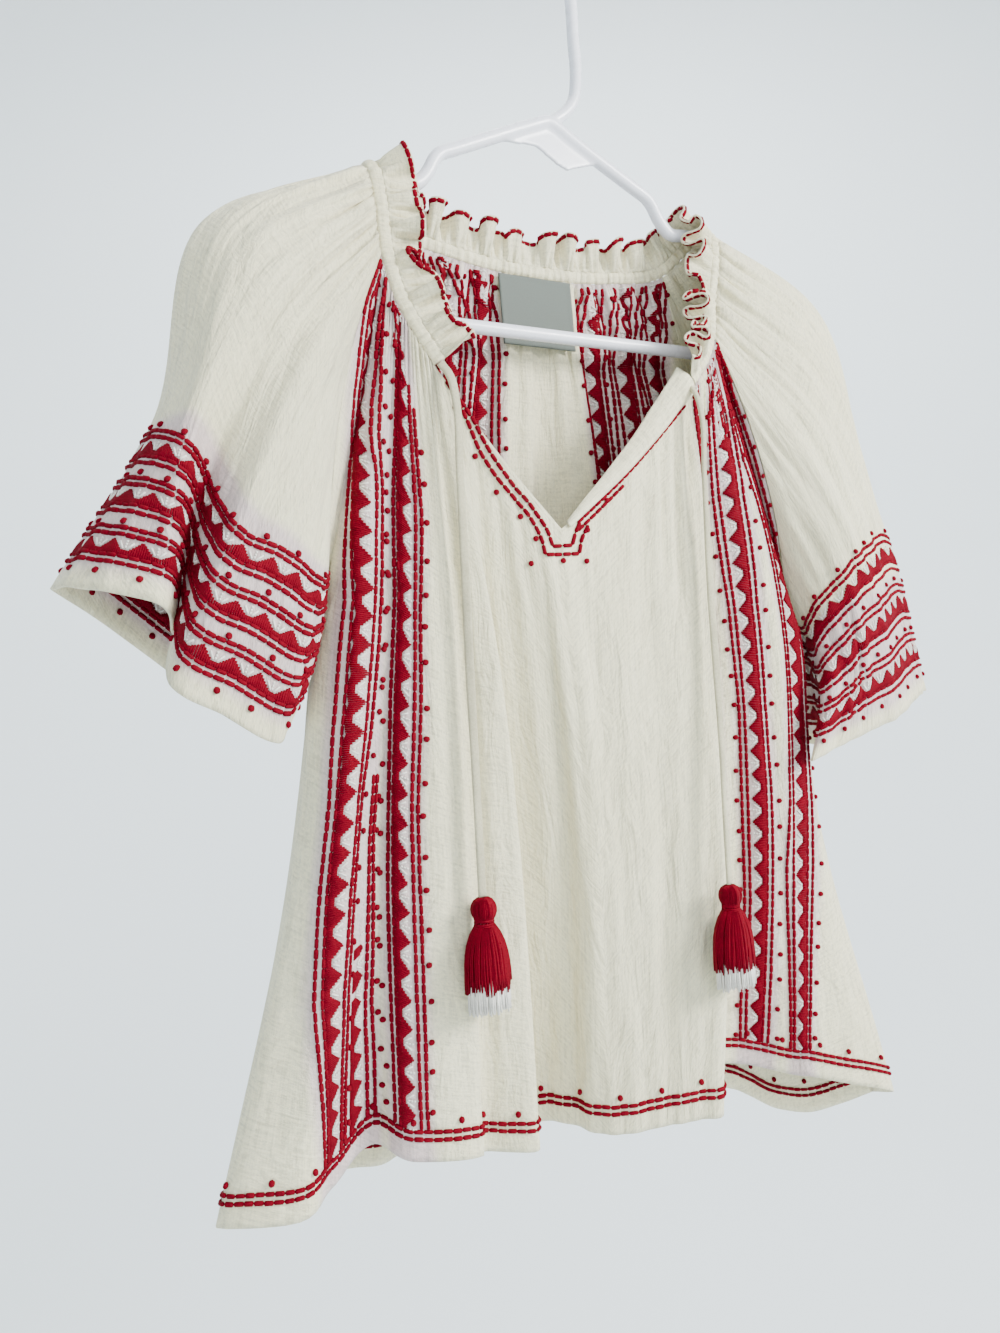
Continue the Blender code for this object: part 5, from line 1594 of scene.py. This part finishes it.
class BLOUSE_OT_slit(bpy.types.Operator):
    """Stitches the two lines round the neck slit and makes its turned-out facing"""
    bl_idname = "blouse.slit"
    bl_label = "Neck slit"

    def execute(self, context):
        front = panel("front")
        m, n = front.grid.shape[:2]
        outer = front.grid + front.normals * 0.45
        quads = [(i * n + j, (i + 1) * n + j, (i + 1) * n + j + 1, i * n + j + 1)
                 for i in range(m - 1) for j in range(n - 1)]
        cloth = BVHTree.FromPolygons([Vector(tuple(p)) for p in outer.reshape(-1, 3)], quads)

        def drop(x, z):
            """The point of the cloth that lies behind x, z, and the cloth's outward normal there."""
            hit = cloth.ray_cast(Vector((x, -200.0, z)), Vector((0, 1, 0)))
            if hit[0] is None:
                near = cloth.find_nearest(Vector((x, -34.0, z)))
                return np.array(near[0]), np.array((0, -1.0, 0))
            normal = np.array(hit[1])
            return np.array(hit[0]), normal if normal[1] < 0 else -normal

        thread = context.scene.blouse_thread
        red = Stitches()
        length, width = thread.stitch_length / MM, thread.stitch_width / MM
        for line in SLIT_LINES:
            curve = curve_by_length([(x, 0.0, z) for x, z in line])
            total = sum(math.dist(a, b) for a, b in zip(line, line[1:]))
            count = max(1, int(total / (length - 0.4)))
            for k in range(count):
                a, c, b = curve([k / count, (k + 0.5) / count, (k + 1) / count])
                middle, normal = drop(c[0], c[2])
                along = drop(b[0], b[2])[0] - drop(a[0], a[2])[0]
                red.add(STITCH, [middle + normal * SLIT_LIFT], [along], [normal],
                        np.linalg.norm(along) / 2 * 1.06, width / 2)
        for first, last, distance in FACING_LINES:
            span = np.linspace(first, last, 160)
            rows = []
            for place in span:
                fall = front.look(front.fall, np.full(len(front.rows), place), front.rows)
                rows.append(np.interp(distance, fall, front.rows))
            points, normals = front.at(span, np.array(rows), STITCH_LIFT)
            far = lengths_along(points)
            count = int(far[-1] / (length - 0.7))
            at = np.linspace(0, far[-1], 2 * count + 1)
            walk, turn = (np.stack([np.interp(at, far, field[:, c]) for c in range(3)], axis=1)
                          for field in (points, normals))
            red.add(STITCH, walk[1::2], walk[2::2] - walk[:-1:2], turn[1::2], length / 2, width / 2 * 0.9)
        knot = thread.knot_width / MM
        for x, z in SLIT_KNOTS:
            spot, normal = drop(x, z)
            red.add(KNOT, [spot + normal * SLIT_KNOT_LIFT], [(1, 0, 0.2)], [normal], knot * 0.55, knot / 2)
        red.make("slit_red_stitches", "red", "red_yarn")
        self.make_lapel(front)
        return {"FINISHED"}

    def make_lapel(self, front):
        """The facing on the right of the slit, turned out and wider towards the neck."""
        span, depth = np.linspace(*LAPEL_PLACES, 90), np.linspace(0, 1, 20)
        edge, outward = front.at(span, np.zeros(len(span)))
        rise = np.array(LAPEL_RISE)
        grid = np.zeros((len(span), len(depth), 3))
        for i in range(len(span)):
            share = i / (len(span) - 1)
            wide = 1.0 + 16.0 * share ** 0.85
            for j, t in enumerate(depth):
                roll = (1.4 + (0.8 + 3.4 * share) * math.sin(math.pi * t ** 0.8)
                        + 0.5 * share * math.sin(20 * share + 3 * t))
                grid[i, j] = edge[i] + rise * (wide * t - 2.6 * (1 - min(1.0, 5 * t))) + outward[i] * roll
        run = np.repeat((span * 60)[:, None], len(depth), axis=1)
        fall = np.repeat((depth * 17)[None, :], len(span), axis=0)
        vertices, faces, uv = shell(grid, False, LAPEL_WALL, run, fall)
        lapel = piece("slit_lapel", vertices, faces, "cotton", uv, np.zeros(len(vertices)))
        clean_outside(lapel)


# ---------------------------------------------------------------- cords and tassels

CORD_SIDES, CORD_RINGS, CORD_HALF_THICK = 12, 170, 1.35
# The sewn, flattened drawstring is this much wider than its solid
CORD_FLATTENED = 1.19


def cord_piece(name, node, route):
    """A flat rouleau drawstring with its sewn edge, hanging limp to its tassel."""
    width = CORD_FLATTENED * bpy.context.scene.blouse_neck.cord / MM
    path = curve_by_length(route, 400)(np.linspace(0, 1, 40) ** 1.3)
    fine = curve_by_length(path, 400)(np.linspace(0, 1, CORD_RINGS))
    tangent = unit(np.gradient(fine, axis=0))
    turn = 0.35 * np.sin(np.linspace(0, 9, len(fine))) + (0.15 if route[0][0] > 0 else -0.15)
    side = unit(np.cross(tangent, np.stack([np.sin(turn), -np.cos(turn), np.zeros(len(fine))], axis=1)))
    front = np.cross(side, tangent)
    ring = np.linspace(0, 2 * math.pi, CORD_SIDES, endpoint=False)
    rx = width / 2 * np.sign(np.cos(ring)) * np.abs(np.cos(ring)) ** 0.8
    ry = CORD_HALF_THICK * np.sin(ring) * (1 - 0.25 * (np.abs(np.cos(ring)) < 0.3))
    rings = fine[:, None, :] + side[:, None, :] * rx[None, :, None] + front[:, None, :] * ry[None, :, None]
    vertices = list(rings.reshape(-1, 3)) + [fine[0], fine[-1]]
    faces = tube_faces(len(fine), CORD_SIDES)
    last = len(vertices) - 1
    for end, base in ((last - 1, 0), (last, (len(fine) - 1) * CORD_SIDES)):
        faces += [(base + j, base + (j + 1) % CORD_SIDES, end) for j in range(CORD_SIDES)]
    made = piece(name, vertices, faces, "cord", replaces=(node,))
    clean_outside(made)
    length = sum(math.dist(a, b) for a, b in zip(path, path[1:])) * MM
    [tuple(c * MM for c in p) for p in path]


def hanks(name, finish, threads, replaces=()):
    """Loose threads, each a bent three-sided strand; threads lists arrays of points and radii."""
    vertices, faces = [], []
    for line, radius in threads:
        base = len(vertices)
        tangent = unit(np.gradient(line, axis=0))
        side = unit(np.cross(tangent, [0.3, 1.0, 0.1]))
        other = np.cross(tangent, side)
        for i, point in enumerate(line):
            r = radius * (1.0 if i < len(line) - 1 else 0.7)
            for j in range(3):
                a = 2 * math.pi * j / 3
                vertices.append(point + r * (math.cos(a) * side[i] + math.sin(a) * other[i]))
        faces += [tuple(base + k for k in face) for face in tube_faces(len(line), 3)]
        faces.append((base + 2, base + 1, base))
        end = base + (len(line) - 1) * 3
        faces.append((end, end + 1, end + 2))
    return piece(name, vertices, faces, finish, replaces=replaces)


# Strands that show on a tassel's head and rounds of wool on its neck
HEAD_STRANDS, NECK_ROUNDS, NECK_R, NECK_TOP = 46, 5, 5.3, 11.0
HEAD_PROFILE = [(1.0, -0.3), (4.2, -1.4), (TASSEL_HEAD_R + 0.3, -5.0), (TASSEL_HEAD_R + 0.2, -8.5),
                (4.6, -12.2)]
# Where the skirt's strands start below the knot, their radius there, and the turn from one to the next
SKIRT_TOP, SKIRT_TOP_R, GOLDEN = 14.0, 4.6, 0.618034
# Strands, lowest and highest end, share of the skirt's width, how soon it opens, and radius
RED_FRINGE = (330, 45.5, 52.5, 1.0, 3.4, 0.80)
WHITE_FRINGE = (330, 57.5, 62.5, 0.93, 2.2, 0.72)


def fringe(random, top, skirt, count, low, high, share_wide, opening, radius):
    """Strands of a tassel's skirt, from its neck to their uneven ends."""
    strands = []
    for k in range(count):
        a = 2 * math.pi * (k * GOLDEN) + random.uniform(-0.1, 0.1)
        share = math.sqrt(0.10 + 0.90 * (k + 0.5) / count) if k % 3 else random.uniform(0.93, 1.0)
        start_r, end_r = SKIRT_TOP_R * share, skirt * share_wide * share
        foot = random.uniform(low, high)
        drift = random.uniform(-0.9, 0.9)
        t = np.linspace(0, 1, 7)
        open_up = 1 - (1 - t) ** opening
        spread = start_r + (end_r - start_r) * open_up
        depth = start_r + (max(end_r * TASSEL_DEPTH, start_r) - start_r) * open_up
        z = top[2] - SKIRT_TOP - (foot - SKIRT_TOP) * t
        x, y = top[0] + spread * math.cos(a) + drift * t ** 2, top[1] + depth * math.sin(a)
        strands.append((np.stack([x, y, z], axis=1), radius))
    return strands


def tassel_pieces(side_name, top, skirt, seed):
    """A wool tassel: wound head and neck, a full red skirt, and white threads that hang below it."""
    random = np.random.default_rng(seed)
    top = np.asarray(top, float)
    red = []
    heights = curve_by_length([(r, 0, z) for r, z in HEAD_PROFILE])(np.linspace(0, 1, 8))
    for k in range(HEAD_STRANDS):
        a = 2 * math.pi * k / HEAD_STRANDS + random.uniform(-0.04, 0.04)
        r = heights[:, 0] * random.uniform(0.94, 1.05)
        line = np.stack([top[0] + r * math.cos(a), top[1] + r * math.sin(a), top[2] + heights[:, 2]], axis=1)
        red.append((line, 0.8))
    a = np.linspace(0, 2 * math.pi, 20)
    for k in range(NECK_ROUNDS):
        tilt = random.uniform(-0.5, 0.5)
        z = top[2] - NECK_TOP - k * 1.0 + tilt * np.cos(a + k)
        line = np.stack([top[0] + NECK_R * np.cos(a), top[1] + NECK_R * np.sin(a), z], axis=1)
        red.append((line, 0.7))
    red += fringe(random, top, skirt, *RED_FRINGE)
    white = fringe(random, top, skirt, *WHITE_FRINGE)
    core = curve_by_length([(0, 0, -0.5), (0, 0, -16.0)])(np.linspace(0, 1, 4))
    red.append((core + top, 3.6))
    return [hanks("tassel_red_" + side_name, "red", red, ("tassel_" + side_name,)),
            hanks("tassel_white_" + side_name, "white", white, ("tassel_tips_" + side_name,))]


class BLOUSE_OT_drawstring(bpy.types.Operator):
    """Makes the two drawstring ends with their tassels"""
    bl_idname = "blouse.drawstring"
    bl_label = "Drawstring and tassels"

    def execute(self, context):
        for name, route, skirt, seed in (("left", CORD_LEFT, 13.0, 5), ("right", CORD_RIGHT, 14.2, 8)):
            x, y, z = route[-1]
            tassels = tassel_pieces(name, (x, y, z - 0.2), skirt, seed)
            cord_piece("cord_" + name, "drawstring_" + name, route)
        return {"FINISHED"}


# ---------------------------------------------------------------- label and hanger

LABEL_COLUMNS, LABEL_ROWS = 40, 34
# Cloth of the label, the extra of its folded border and that border's width
LABEL_WALL, LABEL_FOLD, LABEL_BORDER = 0.7, 0.35, 2.2


class BLOUSE_OT_label(bpy.types.Operator):
    """Makes the blank label with its folded, sewn border"""
    bl_idname = "blouse.label"
    bl_label = "Blank label"

    def execute(self, context):
        m, n = LABEL_COLUMNS, LABEL_ROWS
        y, top = LABEL_TOP
        grid = np.zeros((m, n, 3))
        for i in range(m):
            for j in range(n):
                down = j / (n - 1)
                sway = 0.25 * math.sin(3.2 * i / (m - 1) + 0.5)
                grid[i, j] = (LABEL_LEFT_X + LABEL_WIDTH * i / (m - 1), y - 1.2 * down - sway * down,
                              top - LABEL_HEIGHT * down)
        run = np.repeat((np.linspace(0, 1, m) * LABEL_WIDTH)[:, None], n, axis=1)
        fall = np.repeat((np.linspace(0, 1, n) * LABEL_HEIGHT)[None, :], m, axis=0)
        border = np.minimum(np.minimum(run, LABEL_WIDTH - run), np.minimum(fall, LABEL_HEIGHT - fall))
        thick = LABEL_WALL + LABEL_FOLD / (1 + np.exp((border - LABEL_BORDER) / 0.2))
        vertices, faces, uv = shell(grid, False, thick, run, fall)
        made = piece("label_blank", vertices, faces, "label", uv, replaces=("neck_label",))
        sewn = Stitches()
        surface = Panel(np.linspace(0, 1, m), np.linspace(0, 1, n), grid, False)
        places = np.arange(0.03, 0.98, 0.055)
        centre, normals = surface.at(places, np.full(len(places), 0.035), 0.5)
        sewn.add(STITCH, centre, np.tile([1.0, 0, 0], (len(places), 1)), normals, 1.1, 0.3)
        sewn.make("label_stitches", "white", "white_yarn")
        return {"FINISHED"}


def round_bar(path, radius, closed):
    """A smooth round bar along a path, from a curve with a bevel; an open bar ends in a ball."""
    curve = bpy.data.curves.new("bar", "CURVE")
    curve.dimensions = "3D"
    line = curve.splines.new("POLY")
    line.points.add(len(path) - 1)
    line.points.foreach_set("co", np.hstack([np.asarray(path) * MM, np.ones((len(path), 1))]).ravel())
    line.use_cyclic_u = closed
    curve.bevel_depth, curve.bevel_resolution, curve.use_fill_caps = radius * MM, 7, not closed
    bar = bpy.data.objects.new("bar", curve)
    bpy.context.collection.objects.link(bar)
    bpy.ops.object.select_all(action="DESELECT")
    bar.select_set(True)
    bpy.context.view_layer.objects.active = bar
    bpy.ops.object.convert(target="MESH")
    parts = [bar]
    for end in () if closed else (path[0], path[-1]):
        bpy.ops.mesh.primitive_uv_sphere_add(segments=28, ring_count=18, radius=radius * MM,
                                             location=tuple(c * MM for c in end))
        bpy.ops.object.transform_apply(location=True, rotation=True, scale=True)
        parts.append(bpy.context.active_object)
    return parts


def round_corners(path, closed, steps=9):
    """A finer path with its corners rounded."""
    path = np.asarray(path, float)
    if closed:
        path = np.concatenate([path[-3:], path, path[:3]])
    chord = lengths_along(path)
    at = np.concatenate([np.linspace(a, b, steps, endpoint=False) for a, b in zip(chord, chord[1:])])
    fine = spline(chord, path, at)
    for _ in range(6):
        fine[1:-1] = fine[1:-1] * 0.5 + (fine[:-2] + fine[2:]) * 0.25
    if closed:
        fine = fine[3 * steps:-3 * steps]
    return fine


class BLOUSE_OT_hanger(bpy.types.Operator):
    """Makes the moulded hanger: outline, hook and the web under its neck"""
    bl_idname = "blouse.hanger"
    bl_label = "Hanger"

    def execute(self, context):
        radius = context.scene.blouse_hanger.tube / MM
        outline, = round_bar(round_corners(hanger_frame_path(), True), radius, True)
        stem = [(2, 0, -109), (14, 0, -101), (23, 0, -90), (HOOK_STEM_X, 0, -76), (HOOK_STEM_X, 0, -50)]
        centre_z = 4 - HOOK_R
        for degrees in range(0, 196, 15):
            angle = math.radians(degrees)
            stem.append((HOOK_R * math.cos(angle), 0, centre_z + HOOK_R * math.sin(angle)))
        hook = round_bar(round_corners(stem, False), radius - 0.2, False)
        web_outline = [(-WEB_HALF, arm_height(WEB_HALF)), (-10, APEX_Z - 3), (12, APEX_Z - 4),
                       (WEB_HALF, arm_height(WEB_HALF)), (22, -134), (14, -137), (6, -134), (-8, -126)]
        half = WEB_THICK / 2
        corners = [(x, -half, z) for x, z in web_outline] + [(x, half, z) for x, z in web_outline]
        n = len(web_outline)
        faces = [tuple(range(n)), tuple(range(2 * n - 1, n - 1, -1))]
        faces += [(i, (i + 1) % n, n + (i + 1) % n, n + i) for i in range(n)]
        mesh = bpy.data.meshes.new("web")
        mesh.from_pydata([tuple(c * MM for c in v) for v in corners], [], faces)
        web = bpy.data.objects.new("web", mesh)
        context.collection.objects.link(web)
        bpy.ops.object.select_all(action="DESELECT")
        for part in (*hook, web, outline):
            clean_outside(part)
            part.select_set(True)
        context.view_layer.objects.active = outline
        bpy.ops.object.join()
        outline.name = outline.data.name = "hanger_smooth"
        fuse = outline.modifiers.new("fuse", "REMESH")
        fuse.mode = "VOXEL"
        fuse.voxel_size = 0.0011
        bpy.ops.object.modifier_apply(modifier=fuse.name)
        ease = outline.modifiers.new("ease", "SMOOTH")
        ease.factor = 0.5
        ease.iterations = 5
        bpy.ops.object.modifier_apply(modifier=ease.name)
        outline.data.shade_smooth()
        outline.data.materials.clear()
        outline.data.materials.append(finish_of("plastic"))
        outline.select_set(False)
        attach(outline, "root")
        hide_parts("hanger")
        return {"FINISHED"}


# ---------------------------------------------------------------- stage

# The photograph's camera: place in metres, turn about the upright, roll, and focal length by height
CAMERA_PLACE = (-0.3572, -0.5208, -0.4485)
CAMERA_TURN = math.radians(-29.7)
CAMERA_ROLL = math.radians(4.0)
CAMERA_FOCAL, CAMERA_SENSOR = 1000.0 / 1333.0, 36.0
# The round studio in metres: height of its floor, radius of the floor and of the cove, and its top
FLOOR_Z, FLOOR_R, STUDIO_TOP, STUDIO_SIDES, COVE_STEPS = -1.50, 1.6, 5.0, 64, 12


def make_camera():
    """The camera at the photograph's viewing angle."""
    forward = Vector((math.sin(-CAMERA_TURN), math.cos(CAMERA_TURN), 0.0))
    right = Vector((forward.y, -forward.x, 0.0))
    up = Vector((0, 0, 1))
    across = right * math.cos(CAMERA_ROLL) - up * math.sin(CAMERA_ROLL)
    above = up * math.cos(CAMERA_ROLL) + right * math.sin(CAMERA_ROLL)
    data = bpy.data.cameras.new("photo_camera")
    data.sensor_fit = "VERTICAL"
    data.sensor_height = CAMERA_SENSOR
    data.lens = CAMERA_FOCAL * CAMERA_SENSOR
    data.clip_start, data.clip_end = 0.01, 50.0
    camera = bpy.data.objects.new("photo_camera", data)
    bpy.context.collection.objects.link(camera)
    turn = Matrix((across, above, -forward)).transposed()
    camera.matrix_world = Matrix.Translation(CAMERA_PLACE) @ turn.to_4x4()
    bpy.context.scene.camera = camera


def area_light(name, place, aim, size, power, colour):
    """A round soft light that looks at a point."""
    data = bpy.data.lights.new(name, "AREA")
    data.shape = "DISK"
    data.size, data.energy, data.color = size, power, colour
    light = bpy.data.objects.new(name, data)
    bpy.context.collection.objects.link(light)
    light.location = place
    light.rotation_euler = (Vector(aim) - Vector(place)).to_track_quat("-Z", "Y").to_euler()


class BLOUSE_OT_stage(bpy.types.Operator):
    """Makes the camera, the plain round studio and its soft lights"""
    bl_idname = "blouse.stage"
    bl_label = "Stage"

    def execute(self, context):
        make_camera()
        stage = context.scene.blouse_stage
        sides = STUDIO_SIDES
        profile = [(0.0, FLOOR_Z), (FLOOR_R, FLOOR_Z)]
        for k in range(1, COVE_STEPS + 1):
            a = math.radians(90 * k / COVE_STEPS)
            profile.append((FLOOR_R + FLOOR_R * math.sin(a), FLOOR_Z + FLOOR_R * (1 - math.cos(a))))
        profile.append((2 * FLOOR_R, STUDIO_TOP))
        vertices = [(0.0, 0.0, FLOOR_Z)]
        for r, z in profile[1:]:
            for k in range(sides):
                a = 2 * math.pi * k / sides
                vertices.append((r * math.cos(a), r * math.sin(a), z))
        faces = [(0, 1 + k, 1 + (k + 1) % sides) for k in range(sides)]
        for i in range(len(profile) - 2):
            for k in range(sides):
                a, b = 1 + i * sides + k, 1 + i * sides + (k + 1) % sides
                faces.append((a, a + sides, b + sides, b))
        mesh = bpy.data.meshes.new("studio")
        mesh.from_pydata(vertices, [], faces)
        mesh.shade_smooth()
        mesh.materials.append(finish_of("stage"))
        studio = bpy.data.objects.new("studio", mesh)
        context.collection.objects.link(studio)
        area_light("key", (1.25, -1.55, 0.35), (0, 0, -0.45), 0.9, stage.key, (1.0, 0.985, 0.95))
        area_light("fill", (-0.5, -2.1, 0.3), (0, 0, -0.5), 1.2, stage.fill, (1.0, 0.99, 0.97))
        area_light("top", (0.2, 0.6, 1.7), (0, 0, -0.4), 1.8, 20.0, (0.96, 0.98, 1.0))
        area_light("wall", (0.9, 1.2, 1.5), (1.7, 2.8, -0.5), 1.4, 75.0, (0.97, 0.99, 1.0))
        world = context.scene.world or bpy.data.worlds.new("studio_air")
        context.scene.world = world
        world.use_nodes = True
        air = world.node_tree.nodes.get("Background") or world.node_tree.nodes.new("ShaderNodeBackground")
        air.inputs["Color"].default_value = (0.955, 0.97, 1.0, 1.0)
        air.inputs["Strength"].default_value = 0.6
        return {"FINISHED"}


class BLOUSE_PT_pieces(bpy.types.Panel):
    """Lists the operators and the sizes of the blouse"""
    bl_idname = "BLOUSE_PT_pieces"
    bl_label = "Peasant blouse"
    bl_space_type = "VIEW_3D"
    bl_region_type = "UI"
    bl_category = "Blouse"

    def draw(self, context):
        layout = self.layout
        for step in STEPS:
            layout.operator("blouse." + step)
        for group in GROUPS:
            box = layout.box()
            values = getattr(context.scene, group)
            for key in values.__annotations__:
                box.prop(values, key)


STEPS = ("stage", "drawstring", "front_embroidery", "back_embroidery", "sleeve_embroidery", "panels", "neck",
         "slit", "label", "hanger")
GROUPS = {"blouse_cloth": BlouseCloth, "blouse_thread": BlouseThread, "blouse_neck": BlouseNeck,
          "blouse_hanger": BlouseHanger, "blouse_stage": BlouseStage}
OPERATORS = (BLOUSE_OT_stage, BLOUSE_OT_drawstring, BLOUSE_OT_panels, BLOUSE_OT_front_embroidery,
             BLOUSE_OT_back_embroidery, BLOUSE_OT_sleeve_embroidery, BLOUSE_OT_neck, BLOUSE_OT_slit,
             BLOUSE_OT_label, BLOUSE_OT_hanger)


def register():
    """Adds the settings, the operators and the sidebar to Blender."""
    for group in GROUPS.values():
        bpy.utils.register_class(group)
    for key, group in GROUPS.items():
        setattr(bpy.types.Scene, key, bpy.props.PointerProperty(type=group))
    for operator in OPERATORS:
        bpy.utils.register_class(operator)
    bpy.utils.register_class(BLOUSE_PT_pieces)


def unregister():
    """Takes them out again."""
    bpy.utils.unregister_class(BLOUSE_PT_pieces)
    for operator in reversed(OPERATORS):
        bpy.utils.unregister_class(operator)
    for key, group in reversed(list(GROUPS.items())):
        delattr(bpy.types.Scene, key)
        bpy.utils.unregister_class(group)


def main():
    """Makes every piece in order."""
    register()
    bpy.ops.object.select_all(action="DESELECT")
    for step in STEPS:
        getattr(bpy.ops.blouse, step)()
    bpy.ops.object.select_all(action="DESELECT")


if __name__ == "__main__":
    main()
